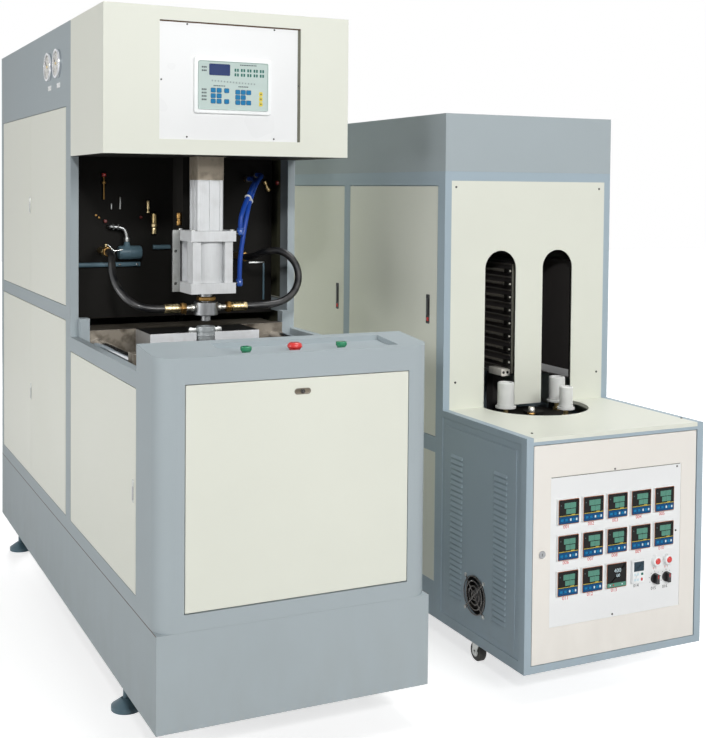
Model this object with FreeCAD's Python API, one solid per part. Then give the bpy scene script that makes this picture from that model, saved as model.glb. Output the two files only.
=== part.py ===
import FreeCAD, Part
import math
import os

# Two-cabinet stretch blow moulding machine: a blowing cabinet on levelling feet and, beside it,
# a preform heater on castors. Millimetres, +Z up, +Y runs from the operator towards the back.
# All sizes are measured from the blowing cabinet's front left bottom corner on the floor, and the
# finished pieces are moved once, so that the origin is the middle of the footprint, on the floor.

V = FreeCAD.Vector
X_AXIS = V(1, 0, 0)
Y_AXIS = V(0, 1, 0)
Z_AXIS = V(0, 0, 1)

# ---- fits and stock ----
sheet = 3.0                  # folded sheet of covers, panels and housings
door_sheet = 1.5             # thinner sheet of the door pans
door_depth = 18.0            # depth of a door pan's folded edge
door_gap = 2.0               # gap between a door and its opening on three sides
hinge_gap = 4.0              # the wider gap on its hinge side
pin_inset = 7.0              # hinge pin's distance from the door's face and hinge edge
pin_radius = 3.0
pin_reach = 12.0             # how far a hinge pin stands out of the door
latch_size = (14.0, 60.0)
free_gap = 0.3               # clearance of a curved face beside one that moves
fit_gap = 0.1                # radial clearance of pistons, bushes and bearings
rod_gap = 0.6                # radial clearance of the stretch rod in the parts it runs through

# ---- blowing cabinet ----
blower_width = 780.0
blower_depth = 2230.0
plinth_bottom = 114.0
plinth_top = 366.0
plinth_wall = 4.0
blower_roof = 2017.0
post_face = 26.0             # width of a post, seen from the front
front_post_depth = 66.0
rear_post_depth = 40.0
cabinet_front = 953.0        # front face of the tall cabinet's posts
base_rail_top = 410.0
middle_rail_bottom = 1053.0
middle_rail_top = 1098.0
top_casing_height = 270.0    # from the underside of the top rails to the roof
top_rail_height = 45.0
low_rail_bottom = 960.0      # rail above the front service door
low_rail_top = 1005.0
door_split = 1605.0          # where the two leaves of a door pair meet
foot_inset = 45.0
front_foot_y = 437.0
rear_foot_y = 2055.0
foot_radius = 44.0
foot_disc_height = 12.0
foot_cone_height = 20.0
foot_stem_radius = 10.0

# ---- front box with the clamp drive ----
cover_depth = 186.0
cover_corner = 50.0
cover_front_top = 1060.0
cover_back_top = 1077.0
access_left = 73.0
access_right = 711.0
access_bottom = 410.0
access_top = 993.0
tray_left = 190.0
tray_right = 690.0
tray_front = 24.0
tray_back = 150.0
tray_depth = 14.0
button_y = 52.0
start_left_x = 255.0
stop_x = 393.0
start_right_x = 530.0
button_stem_radius = 11.0
start_cap_radius = 15.0
start_cap_height = 16.0
stop_cap_radius = 20.0
stop_cap_height = 20.0
button_travel = 4.0
button_lift = 8.0            # gap between the tray's floor and a cap at rest
cap_foot = 0.68              # width of a cap's foot, as a share of its top

# ---- head with the control plate ----
head_front = 538.0
head_bottom = 1584.0
window_left = 167.0
window_right = 617.0
window_bottom = 1629.0
window_top = 1977.0
plate_overlap = 12.0
keypad_left = 272.0
keypad_right = 518.0
keypad_bottom = 1708.0
keypad_top = 1876.0
keypad_bezel = 12.0
keypad_proud = 8.0
keypad_corner = 9.0
keypad_depth = 60.0
gauge_y = (1131.0, 1270.0)
gauge_below_roof = 122.0     # how far the gauges' middle lies under the roof
gauge_radius = 48.0
gauge_body_radius = 40.0
gauge_proud = 12.0
gauge_body_depth = 32.0
gauge_rim = 6.0

# ---- mould bay ----
axis_x = 390.0               # axis of the blowing head, the preform and the bottle
axis_y = 760.0               # parting plane of the mould
mould_width = 366.0
mould_height = 500.0
mould_top = 1026.0
rear_mould_depth = 165.0
front_mould_depth = 150.0
mould_opening = 200.0
cavity_radius = 88.0
cavity_height = 330.0
cavity_floor_to_base = 80.0
cavity_neck_radius = 17.0
shoulder_height = 70.0
base_round = 18.0
platen_thickness = 50.0
front_plate_thickness = 40.0
front_plate_y = 140.0
platen_margin = 40.0
platen_top = 1025.0
upright_depth = 40.0
upright_width = 30.0
upright_top = 1065.0
tie_bar_radius = 20.0
tie_bar_inset = 82.0
tie_bar_high_z = 980.0
tie_bar_low_z = 470.0
tie_nut_radius = 30.0
tie_nut_length = 28.0
clamp_axis_z = 740.0
clamp_tube_radius = 75.0
clamp_bore_radius = 65.0
clamp_rod_radius = 30.0
clamp_front = 26.0
clamp_cap = 28.0
clamp_piston = 34.0
clamp_end = 335.0
clamp_flange = 200.0
clamp_flange_thickness = 20.0
moving_platen_base = 400.0

# ---- blowing head: sealing cylinder, stretch cylinder and manifold ----
ring_radius = 30.0
ring_bore = 16.0
ring_bottom = 1001.0
ring_top = 1046.0
ring_ear_reach = 55.0
ring_ear_depth = 18.0
ring_ear_height = 16.0
nozzle_radius = 15.5
nozzle_bottom = 1063.0
seal_travel = 16.0
manifold_radius = 39.0
manifold_bottom = 1081.0
manifold_top = 1124.0
lock_nut_across = 57.0
lock_nut_height = 15.0
lock_nut_bottom = 1126.0
seal_flange = 148.0
seal_bottom = 1154.0
seal_top = 1351.0
seal_flange_height = 33.0
seal_tube_radius = 60.0
seal_bore_radius = 52.0
seal_column = 26.0
seal_column_reach = 66.0
seal_rod_radius = 20.0
seal_piston_bottom = 1240.0
seal_piston_height = 20.0
stretch_width = 86.0
stretch_top = 1950.0
stretch_bore_radius = 32.0
stretch_end_wall = 20.0
stretch_groove_width = 27.0
stretch_groove_depth = 4.0
stretch_rib = 8.0            # rib between the two grooves of each side
stretch_corner = 7.0
stretch_piston_height = 30.0
stretch_travel = 400.0
stretch_rod_radius = 6.0
stretch_tip_above_nozzle = 3.0
bracket_back = 14.0
bracket_cheek = 8.0
bracket_lip = 24.0
lip_behind_axis = 40.0
lip_hole_z = (1180.0, 1284.0)
lip_hole_radius = 5.0
backbone_width = 100.0
crossbeam_bottom = 1600.0
crossbeam_height = 60.0
crossbeam_depth = 50.0
port_z = 1105.0
port_nut_width = 10.0
port_nut_across = 24.0
coupling_length = 38.0
coupling_radius = 10.0
coupling_nut_across = 35.0
coupling_nut_length = 14.0
ferrule_length = 51.0
ferrule_radius = 15.0
hose_radius = 12.0
bay_panel_y = 1100.0
bay_panel_bottom = 1045.0

# ---- air line parts at the back of the bay ----
reservoir_left = 187.0
reservoir_right = 268.0
reservoir_radius = 23.0
reservoir_z = 1267.0
riser_radius = 9.0
riser_top = 1317.0
riser_x = 218.0
collar_radius = 10.5
collar_height = 12.0
bent_pipe_radius = 6.0
bent_pipe_z = 1350.0
bent_pipe_end = 160.0
air_bar_size = 15.0
air_bar_z = 1226.0
stub_x = (313.0, 374.0)       # the short bar beside the reservoir
stub_z = 1283.0
valve_x = (316.0, 412.0)
valve_z = (1364.0, 1376.0)
valve_size = 18.0
valve_height = 72.0
needle_x = 296.0             # slim valve beside the first one
needle_z = (1400.0, 1444.0)
needle_radius = 6.0
knob_valve_x = 143.0
knob_valve_z = (1445.0, 1534.0)
knob_valve_radius = 8.0
knob_valve_stem = 3.0
pin_places = ((170.0, 1412.0, 1432.0), (200.0, 1412.0, 1454.0))
outlet_radius = 16.0
outlet_length = 40.0
outlet_face_y = 1000.0
left_outlet = (134.0, 1274.0)
right_outlet = (616.0, 1250.0)
tube_radius = 8.0
tube_fitting_radius = 11.0
bulkhead_length = 28.0
long_tube_end = (685.0, 1534.0)
short_tube_end = (655.0, 1519.0)
long_port = (38.0, -4.0, 1192.0)     # reach from the cylinder's side, place behind its axis, height
short_port = (34.0, -20.0, 1357.0)

# ---- heater cabinet ----
heater_gap = 312.0           # walkway between the two cabinets
heater_width = 655.0
heater_front = -11.0
heater_base = 88.0
heater_step_y = 460.0        # front of the tall part, back of the control desk
heater_depth = 1909.0
table_top = 775.0
table_sheet = 12.0
seam_z = 1546.0
heater_roof = 1732.0
heater_post = 24.0
heater_post_depth = 45.0
desk_post_depth = 30.0
heater_base_rail = 120.0     # height of the top of the bottom rails
heater_door_split = 1155.0
heater_door_bottom = 680.0
heater_door_top = 1500.0
heater_mid_rail_bottom = 630.0
heater_plinth_top = 206.0
slot_spacing = 226.0
slot_width = 120.0
slot_bottom = 775.0
slot_top = 1288.0
table_hole_radius = 178.0
wheel_y = 425.0              # axis of the preform wheel
wheel_radius = 131.0
wheel_track_radius = 116.0
wheel_bottom = 738.0
wheel_thickness = 10.0
wheel_teeth = 24
wheel_hub_radius = 34.0
wheel_shaft_radius = 15.0
drive_size = 120.0
drive_top = 640.0
drive_height = 150.0
holder_angles = (184.0, 14.0, -62.0)
holder_radii = (27.0, 27.0, 21.5)
holder_tops = (860.0, 860.0, 850.0)
holder_flange_reach = 6.5
holder_bottom = 777.0
holder_flange = 6.0
holder_wall = 7.0
holder_recess = 3.0
spindle_radius = 8.0
lamp_front = 500.0
lamp_length = 1100.0
lamp_count = 8
lamp_low_z = 911.0
lamp_pitch = 43.7
lamp_radius = 5.5
lamp_end_length = 22.0
lamp_end_size = 16.0
bank_width = 84.0
bank_bottom = 872.0
bank_top = 1250.0
bank_leg = 40.0
front_leg_inset = 140.0
rear_leg_inset = 80.0
reflector_reach = 196.0
reflector_bottom = 845.0
reflector_ledge = 16.0
oven_deck_z = 700.0
oven_deck_front = 575.0
louvre_rows = 27
louvre_pitch = 17.0
louvre_top_z = 648.0
louvre_length = 68.0
louvre_height = 10.0
louvre_proud = 5.0
louvre_front_y = 120.0
louvre_back_y = 368.0
panel_border = 22.0
panel_emboss = 2.5
fan_y = 255.0
fan_z = 238.0
fan_radius = 60.0
fan_frame_size = 130.0
fan_frame_depth = 38.0
fan_hub_radius = 22.0
fan_blades = 7
guard_rings = 4
guard_wire = 2.0
guard_lug_radius = 6.0
fan_axle_radius = 3.0
control_door_left = 1116.0
control_door_bottom = 110.0
control_door_top = 753.0
control_window_inset = 62.0
control_window_bottom = 214.0
control_window_top = 655.0
instrument_size = 74.0
instrument_pitch_x = 88.7
instrument_pitch_z = 105.5
instrument_first_x = 1237.0
instrument_first_z = 552.0
instrument_proud = 9.0
instrument_depth = 60.0
counter_x = 1497.0
counter_width = 46.0
counter_height = 68.0
lamp_button_z = 365.0
knob_z = 310.0
knob_x = (1566.0, 1610.0)
knob_radius = 15.0
knob_length = 18.0
knob_shaft_radius = 4.0
castor_inset = 60.0
castor_front_y = 306.0
castor_rear_y = 1760.0
castor_wheel_radius = 31.0
castor_wheel_width = 24.0
castor_trail = 18.0
castor_plate = 70.0
castor_plate_thickness = 4.0
castor_fork_sheet = 3.0
castor_axle_radius = 5.0
castor_king_radius = 9.0

os.makedirs("parts", exist_ok=True)


# ---- helpers ----
def block(x, y, z):
    """A box from three (low, high) pairs."""
    size_x = x[1] - x[0]
    size_y = y[1] - y[0]
    size_z = z[1] - z[0]
    return Part.makeBox(size_x, size_y, size_z, V(x[0], y[0], z[0]))


def rod(centre, radius, length, axis):
    """A round bar that starts at centre and runs along axis."""
    return Part.makeCylinder(radius, length, V(*centre), axis)


def joined(shapes):
    """One solid from pieces that meet or overlap."""
    return shapes[0].multiFuse(shapes[1:]).removeSplitter()


def less(shape, cutters):
    """shape with every cutter taken away."""
    for cutter in cutters:
        shape = shape.cut(cutter)
    return shape


def group(shapes):
    """Separate solids kept in one node."""
    solids = []
    for shape in shapes:
        solids.extend(shape.Solids)
    return Part.makeCompound(solids)


def mirrored(shape, middle_x):
    """shape reflected about the plane x = middle_x."""
    return shape.mirror(V(middle_x, 0, 0), X_AXIS)


def hexagon_nut(centre, across, length, bore, axis):
    """A hexagonal nut along axis, with a round bore."""
    corner = across / math.sqrt(3)
    points = []
    for i in range(7):
        angle = math.radians(60 * i)
        points.append(V(corner * math.cos(angle), corner * math.sin(angle), 0))
    prism = Part.Face(Part.makePolygon(points)).extrude(V(0, 0, length))
    if bore > 0:
        prism = prism.cut(Part.makeCylinder(bore, length))
    turn = FreeCAD.Rotation(Z_AXIS, axis)
    prism.Placement = FreeCAD.Placement(V(*centre), turn)
    return prism


def pan(x, y, z, outward, wall):
    """A sheet tray: a closed outer face with its four edges folded back.
    outward is the letter and sign of the side that shows, such as -x."""
    solid = block(x, y, z)
    hollow_x = [x[0] + wall, x[1] - wall]
    hollow_y = [y[0] + wall, y[1] - wall]
    hollow_z = [z[0] + wall, z[1] - wall]
    if outward == "-x":
        hollow_x[1] = x[1]
    if outward == "+x":
        hollow_x[0] = x[0]
    if outward == "-y":
        hollow_y[1] = y[1]
    return solid.cut(block(hollow_x, hollow_y, hollow_z))


def tube_along(points, radius):
    """A round hose along straight runs joined by tangent arcs, and the radii and length of its path.
    Each arc's radius is 0.45 of the shorter run divided by the tangent of half the turn."""
    stops = [V(*p) for p in points]
    edges = []
    radii = []
    start = stops[0]
    for i in range(1, len(stops) - 1):
        run_in = stops[i] - stops[i - 1]
        run_out = stops[i + 1] - stops[i]
        setback = 0.45 * min(run_in.Length, run_out.Length)
        half_turn = run_in.getAngle(run_out) / 2
        radii.append(setback / math.tan(half_turn))
        into = V(run_in).normalize()
        out = V(run_out).normalize()
        arc_start = stops[i] - into * setback
        arc_end = stops[i] + out * setback
        bulge = radii[-1] / math.cos(half_turn) - radii[-1]
        arc_middle = stops[i] + (out - into).normalize() * bulge
        edges.append(Part.LineSegment(start, arc_start).toShape())
        edges.append(Part.Arc(arc_start, arc_middle, arc_end).toShape())
        start = arc_end
    edges.append(Part.LineSegment(start, stops[-1]).toShape())
    path = Part.Wire(edges)
    first_run = stops[1] - stops[0]
    ring = Part.Wire(Part.makeCircle(radius, stops[0], first_run))
    tube = path.makePipeShell([ring], True, False)
    return tube, radii, path.Length


# ---- derived places of the blowing cabinet ----
top_rail_bottom = blower_roof - top_casing_height
gauge_z = blower_roof - gauge_below_roof
inner_left = post_face
inner_right = blower_width - post_face
front_post_back = cabinet_front + front_post_depth
rear_post_front = blower_depth - rear_post_depth
rear_platen_y = axis_y + rear_mould_depth
mould_open_y = axis_y - mould_opening
moving_platen_back = mould_open_y - front_mould_depth
moving_platen_front = moving_platen_back - platen_thickness
mould_left = axis_x - mould_width / 2
mould_right = axis_x + mould_width / 2
mould_base = mould_top - mould_height
tie_bar_x = (tie_bar_inset, blower_width - tie_bar_inset)
tie_bar_z = (tie_bar_low_z, tie_bar_high_z)
seal_half = seal_flange / 2
hose_end = manifold_radius + port_nut_width + coupling_length + ferrule_length


def hinge_holes(x, y, z_low, z_high):
    """The two holes that a door's hinge pins turn in, below and above the door."""
    reach = pin_reach + 1
    lower = rod((x, y, z_low - reach), pin_radius + fit_gap, reach, Z_AXIS)
    upper = rod((x, y, z_high), pin_radius + fit_gap, reach, Z_AXIS)
    return [lower, upper]


def left_door(face_x, y, z, hinge_at, split_side):
    """A sheet door in a left side, its hinge pins and its latch boss. y and z are the opening.
    hinge_at is front or rear; split_side is the smaller gap beside another leaf."""
    if hinge_at == "rear":
        low_y = y[0] + split_side
        high_y = y[1] - hinge_gap
        pin_y = high_y - pin_inset
        latch_y = low_y + latch_size[0]
    else:
        low_y = y[0] + hinge_gap
        high_y = y[1] - split_side
        pin_y = low_y + pin_inset
        latch_y = high_y - latch_size[0]
    low_z = z[0] + door_gap
    high_z = z[1] - door_gap
    leaf = pan((face_x, face_x + door_depth), (low_y, high_y), (low_z, high_z), "-x", door_sheet)
    pin_length = high_z - low_z + 2 * pin_reach
    pin = rod((face_x + pin_inset, pin_y, low_z - pin_reach), pin_radius, pin_length, Z_AXIS)
    middle_z = (low_z + high_z) / 2
    half = latch_size[0] / 2
    latch = block((face_x, face_x + door_depth / 2), (latch_y - half, latch_y + half),
                  (middle_z - latch_size[1] / 2, middle_z + latch_size[1] / 2))
    return joined([leaf, pin, latch]), (face_x + pin_inset, pin_y)


def levelling_feet():
    """Four cone feet on threaded stems under the plinth."""
    feet = []
    for x in (foot_inset, blower_width - foot_inset):
        for y in (front_foot_y, rear_foot_y):
            disc = rod((x, y, 0), foot_radius, foot_disc_height, Z_AXIS)
            cone = Part.makeCone(foot_radius, foot_stem_radius * 1.6, foot_cone_height, V(x, y, foot_disc_height))
            stem = rod((x, y, 0), foot_stem_radius, plinth_bottom, Z_AXIS)
            nut = hexagon_nut((x, y, plinth_bottom - foot_stem_radius), foot_stem_radius * 3,
                              foot_stem_radius, 0, Z_AXIS)
            feet.append(joined([disc, cone, stem, nut]))
    return group(feet)


def blower_plinth():
    """The welded base: four sheet walls under a closed deck."""
    outer = block((0, blower_width), (0, blower_depth), (plinth_bottom, plinth_top))
    inner = block((plinth_wall, blower_width - plinth_wall), (plinth_wall, blower_depth - plinth_wall),
                  (plinth_bottom, plinth_top - plinth_wall))
    feet_pads = []
    for x in (foot_inset, blower_width - foot_inset):
        for y in (front_foot_y, rear_foot_y):
            half = foot_inset - plinth_wall
            feet_pads.append(block((x - half, x + half), (y - half, y + half),
                                   (plinth_bottom, plinth_top - plinth_wall / 2)))
    return joined([outer.cut(inner)] + feet_pads)


def blower_frame(hinge_cutters):
    """Plinth, posts, rails, cross beam and the two uprights of the mould bed."""
    members = []
    for left in (0, inner_right):
        side = (left, left + post_face)
        members.append(block(side, (cabinet_front, front_post_back), (plinth_top, top_rail_bottom)))
        members.append(block(side, (rear_post_front, blower_depth), (plinth_top, top_rail_bottom)))
        tall = (front_post_back, rear_post_front)
        low = (cover_depth, cabinet_front)
        members.append(block(side, tall, (plinth_top, base_rail_top)))
        members.append(block(side, tall, (middle_rail_bottom, middle_rail_top)))
        members.append(block(side, low, (plinth_top, base_rail_top)))
        members.append(block(side, low, (low_rail_bottom, low_rail_top)))
    for left in (sheet, blower_width - sheet - post_face):
        members.append(block((left, left + post_face), (cabinet_front, blower_depth - sheet),
                             (top_rail_bottom, top_rail_bottom + top_rail_height)))
    across = (inner_left, inner_right)
    members.append(block(across, (rear_post_front, blower_depth - sheet),
                         (middle_rail_bottom, middle_rail_top)))
    members.append(block(across, (cabinet_front, cabinet_front + crossbeam_depth),
                         (crossbeam_bottom, crossbeam_bottom + crossbeam_height)))
    for left in (inner_left, inner_right - upright_width):
        members.append(block((left, left + upright_width), (rear_platen_y, rear_platen_y + upright_depth),
                             (plinth_top, upright_top)))
    drilled = [less(member, hinge_cutters) for member in members]
    return group([blower_plinth()] + drilled)


def blower_outer_panels():
    """Grey sheets of the top casing and the back."""
    panels = []
    left = block((0, sheet), (cabinet_front, blower_depth), (top_rail_bottom, blower_roof))
    right = mirrored(left, blower_width / 2)
    for y in gauge_y:
        hole = rod((0, y, gauge_z), gauge_body_radius + free_gap, sheet, X_AXIS)
        left = left.cut(hole)
    panels.extend([left, right])
    panels.append(block((sheet, blower_width - sheet), (cabinet_front, blower_depth - sheet),
                        (blower_roof - sheet, blower_roof)))
    back_y = (blower_depth - sheet, blower_depth)
    lower = block((inner_left, inner_right), back_y, (plinth_top, top_rail_bottom))
    upper = block((sheet, blower_width - sheet), back_y, (top_rail_bottom, blower_roof))
    panels.append(joined([lower, upper]))
    return group(panels)


def blower_right_covers():
    """Bolted sheet covers that close the right side."""
    side = (blower_width - door_depth, blower_width)
    tall = (front_post_back, rear_post_front)
    upper = pan(side, tall, (middle_rail_top, top_rail_bottom), "+x", door_sheet)
    lower = pan(side, tall, (base_rail_top, middle_rail_bottom), "+x", door_sheet)
    front = pan(side, (cover_depth, cabinet_front), (base_rail_top, low_rail_bottom), "+x", door_sheet)
    return [upper, lower, front]


def bay_back_panel():
    """The black sheet behind the mould bay."""
    return block((inner_left, inner_right), (bay_panel_y, bay_panel_y + sheet),
                 (bay_panel_bottom, top_rail_bottom))


def rounded_plan(x, y, z, radius):
    """A block whose two front upright edges are rounded."""
    solid = block(x, y, z)
    if radius <= 0:
        return solid
    edges = []
    for edge in solid.Edges:
        middle = edge.CenterOfMass
        upright = abs(edge.Vertexes[0].X - edge.Vertexes[-1].X) < 0.01
        upright = upright and abs(edge.Vertexes[0].Y - edge.Vertexes[-1].Y) < 0.01
        if upright and abs(middle.y - y[0]) < 0.01:
            edges.append(edge)
    return solid.makeFillet(radius, edges)


def sloped(y, height_above, x):
    """A solid that reaches up from the sloping top of the front cover, lifted by height_above."""
    rise = cover_back_top - cover_front_top
    reach = 200.0
    low = cover_front_top + height_above
    points = []
    for place in y:
        points.append(V(x[0], place, low + rise * place / cover_depth))
    profile = [points[0], points[1], points[1] + V(0, 0, reach), points[0] + V(0, 0, reach), points[0]]
    face = Part.Face(Part.makePolygon(profile))
    return face.extrude(V(x[1] - x[0], 0, 0))


def button_places():
    """x of each push button, and its cap's radius and height."""
    return [(start_left_x, start_cap_radius, start_cap_height), (stop_x, stop_cap_radius, stop_cap_height),
            (start_right_x, start_cap_radius, start_cap_height)]


def cover_top_at(y):
    """Height of the front cover's sloping top."""
    return cover_front_top + (cover_back_top - cover_front_top) * y / cover_depth


def front_cover():
    """The folded cover of the front box: rounded corners, panel opening and a tray in its top."""
    high = cover_back_top + 1
    outer = rounded_plan((0, blower_width), (0, cover_depth), (plinth_top, high), cover_corner)
    inner = rounded_plan((sheet, blower_width - sheet), (sheet, cover_depth), (plinth_top, high),
                         cover_corner - sheet)
    everywhere = (-1, blower_width + 1)
    along = (-1, cover_depth + 1)
    inner = inner.cut(sloped(along, -sheet, everywhere))
    shell = outer.cut(sloped(along, 0, everywhere)).cut(inner)
    tray_x = (tray_left, tray_right)
    tray_y = (tray_front, tray_back)
    grown_x = (tray_left - sheet, tray_right + sheet)
    grown_y = (tray_front - sheet, tray_back + sheet)
    pocket = sloped(tray_y, -tray_depth, tray_x)
    dish = sloped(grown_y, -tray_depth - sheet, grown_x).cut(sloped(grown_y, -sheet, grown_x))
    shell = joined([shell, dish]).cut(pocket)
    window_z = (access_bottom, access_top)
    rim = block((access_left - sheet, access_right + sheet), (0, door_depth + sheet),
                (access_bottom - sheet, access_top + sheet))
    rim = rim.common(outer)
    shell = joined([shell, rim])
    shell = shell.cut(block((access_left, access_right), (-1, door_depth + sheet + 1), window_z))
    pin_z = access_bottom + hinge_gap + pin_inset
    pins = rod((access_left - pin_reach - 1, pin_inset, pin_z), pin_radius + fit_gap,
               access_right - access_left + 2 * pin_reach + 2, X_AXIS)
    shell = shell.cut(pins)
    for x, cap_radius, cap_height in button_places():
        hole = rod((x, button_y, plinth_top), button_stem_radius + free_gap, blower_roof, Z_AXIS)
        shell = shell.cut(hole)
    return shell


def front_access_panel():
    """The pale panel in the front cover, hinged at its foot, with a lock boss at its top."""
    x = (access_left + door_gap, access_right - door_gap)
    z = (access_bottom + hinge_gap, access_top - door_gap)
    leaf = pan(x, (0, door_depth), z, "-y", door_sheet)
    pin_z = z[0] + pin_inset
    pin_start = access_left - sheet - 1
    pin_length = access_right - access_left + 2 * (sheet + 1)
    pin = rod((pin_start, pin_inset, pin_z), pin_radius, pin_length, X_AXIS)
    lock = rod((axis_x, 0, z[1] - 34), 12, door_depth, Y_AXIS)
    return joined([leaf, pin, lock])


def push_button(x, cap_radius, cap_height, mushroom):
    """A push button: its cap stands over the tray, and its stem runs through the tray's floor."""
    floor = cover_top_at(button_y) - tray_depth
    cap_low = floor + button_lift
    flare = cap_height * 0.4
    foot = Part.makeCone(cap_radius * cap_foot, cap_radius, flare, V(x, button_y, cap_low))
    head = rod((x, button_y, cap_low + flare), cap_radius, cap_height - flare, Z_AXIS)
    top_edge = [edge for edge in head.Edges if abs(edge.CenterOfMass.z - cap_low - cap_height) < 0.01]
    head = head.makeFillet(cap_height * 0.5 if mushroom else cap_height * 0.15, top_edge)
    cap = joined([foot, head])
    stem = rod((x, button_y, floor - sheet - 14), button_stem_radius, cap_low - floor + sheet + 14, Z_AXIS)
    return joined([cap, stem])


def head_housing():
    """The pale control box over the bay: folded sheet, open at the back and slotted below."""
    outer = block((0, blower_width), (head_front, cabinet_front), (head_bottom, blower_roof))
    inner = block((sheet, blower_width - sheet), (head_front + sheet, cabinet_front),
                  (head_bottom + sheet, blower_roof - sheet))
    window = block((window_left, window_right), (head_front, head_front + sheet), (window_bottom, window_top))
    slot_half = max(stretch_width, backbone_width) / 2 + door_gap
    slot = block((axis_x - slot_half, axis_x + slot_half), (axis_y - slot_half, cabinet_front),
                 (head_bottom, head_bottom + sheet))
    return less(outer, [inner, window, slot])


def keypad_body_space(extra):
    """The body of the keypad unit behind its bezel, grown by extra."""
    back = head_front + sheet
    return block((keypad_left + keypad_bezel - extra, keypad_right - keypad_bezel + extra),
                 (back, back + keypad_depth),
                 (keypad_bottom + keypad_bezel - extra, keypad_top - keypad_bezel + extra))


def control_plate():
    """The white plate behind the head's window, cut out for the keypad unit."""
    back = head_front + sheet
    plate = block((window_left - plate_overlap, window_right + plate_overlap), (back, back + sheet),
                  (window_bottom - plate_overlap, window_top + plate_overlap))
    return plate.cut(keypad_body_space(0))


def keypad_unit():
    """The controller with its membrane keypad, clamped in the control plate."""
    back = head_front + sheet
    bezel = block((keypad_left, keypad_right), (back - keypad_proud, back), (keypad_bottom, keypad_top))
    corners = [edge for edge in bezel.Edges if abs(edge.Vertexes[0].Y - edge.Vertexes[-1].Y) > 1]
    bezel = bezel.makeFillet(keypad_corner, corners)
    edges = [edge for edge in bezel.Edges if abs(edge.CenterOfMass.y - back + keypad_proud) < 0.01]
    bezel = bezel.makeChamfer(keypad_proud * 0.25, edges)
    return joined([bezel, keypad_body_space(0)])


def pressure_gauges():
    """Two round pressure gauges in the left top panel."""
    gauges = []
    for y in gauge_y:
        case = rod((-gauge_proud, y, gauge_z), gauge_radius, gauge_proud, X_AXIS)
        dial = rod((-gauge_proud, y, gauge_z), gauge_radius - gauge_rim, gauge_rim / 2, X_AXIS)
        body = rod((0, y, gauge_z), gauge_body_radius, gauge_body_depth, X_AXIS)
        stem = block((gauge_body_depth, gauge_body_depth + 20), (y - 9, y + 9), (gauge_z - 9, gauge_z + 9))
        gauges.append(joined([case.cut(dial), body, stem]))
    return group(gauges)


def tie_bars():
    """Four guide bars between the fixed plates, with a nut at each end."""
    bars = []
    start = front_plate_y - tie_nut_length
    end = rear_platen_y + platen_thickness + tie_nut_length
    for x in tie_bar_x:
        for z in tie_bar_z:
            bar = rod((x, start, z), tie_bar_radius, end - start, Y_AXIS)
            front_nut = rod((x, start, z), tie_nut_radius, tie_nut_length, Y_AXIS)
            rear_nut = rod((x, end - tie_nut_length, z), tie_nut_radius, tie_nut_length, Y_AXIS)
            bars.append(joined([bar, front_nut, rear_nut]))
    return group(bars)


def tie_bar_holes(y, length, clearance):
    """Cutters for the tie bars through a plate."""
    return [rod((x, y, z), tie_bar_radius + clearance, length, Y_AXIS) for x in tie_bar_x for z in tie_bar_z]


def fixed_platens():
    """The front plate that carries the clamp cylinder, and the platen behind the rear mould half.
    Both stand on the plinth's deck."""
    front = block((platen_margin, blower_width - platen_margin),
                  (front_plate_y, front_plate_y + front_plate_thickness), (plinth_top, platen_top))
    bore = rod((axis_x, front_plate_y, clamp_axis_z), clamp_tube_radius, front_plate_thickness, Y_AXIS)
    front = less(front, [bore] + tie_bar_holes(front_plate_y, front_plate_thickness, 0))
    rear = block((inner_left + upright_width, inner_right - upright_width),
                 (rear_platen_y, rear_platen_y + platen_thickness), (plinth_top, mould_top))
    rear = less(rear, tie_bar_holes(rear_platen_y, platen_thickness, 0))
    return group([front, rear])


def moving_platen():
    """The platen that slides on the tie bars and carries the front mould half."""
    y = (moving_platen_front, moving_platen_back)
    plate = block((platen_margin, blower_width - platen_margin), y, (moving_platen_base, platen_top))
    plate = less(plate, tie_bar_holes(y[0], platen_thickness, fit_gap))
    rod_start = clamp_front + clamp_cap + free_gap
    piston = rod((axis_x, rod_start, clamp_axis_z), clamp_bore_radius - fit_gap, clamp_piston, Y_AXIS)
    stem = rod((axis_x, rod_start, clamp_axis_z), clamp_rod_radius, y[0] - rod_start, Y_AXIS)
    return group([plate, joined([piston, stem])])


def clamp_cylinder():
    """The clamp cylinder: a barrel with two end caps, flanged to the front plate."""
    barrel = rod((axis_x, clamp_front, clamp_axis_z), clamp_tube_radius, clamp_end - clamp_front, Y_AXIS)
    half = clamp_flange / 2
    flange = block((axis_x - half, axis_x + half), (front_plate_y - clamp_flange_thickness, front_plate_y),
                   (clamp_axis_z - half, clamp_axis_z + half))
    bore_length = clamp_end - clamp_front - 2 * clamp_cap
    bore = rod((axis_x, clamp_front + clamp_cap, clamp_axis_z), clamp_bore_radius, bore_length, Y_AXIS)
    rod_hole = rod((axis_x, clamp_end - clamp_cap, clamp_axis_z), clamp_rod_radius + fit_gap, clamp_cap, Y_AXIS)
    return joined([barrel, flange]).cut(bore).cut(rod_hole)


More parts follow.
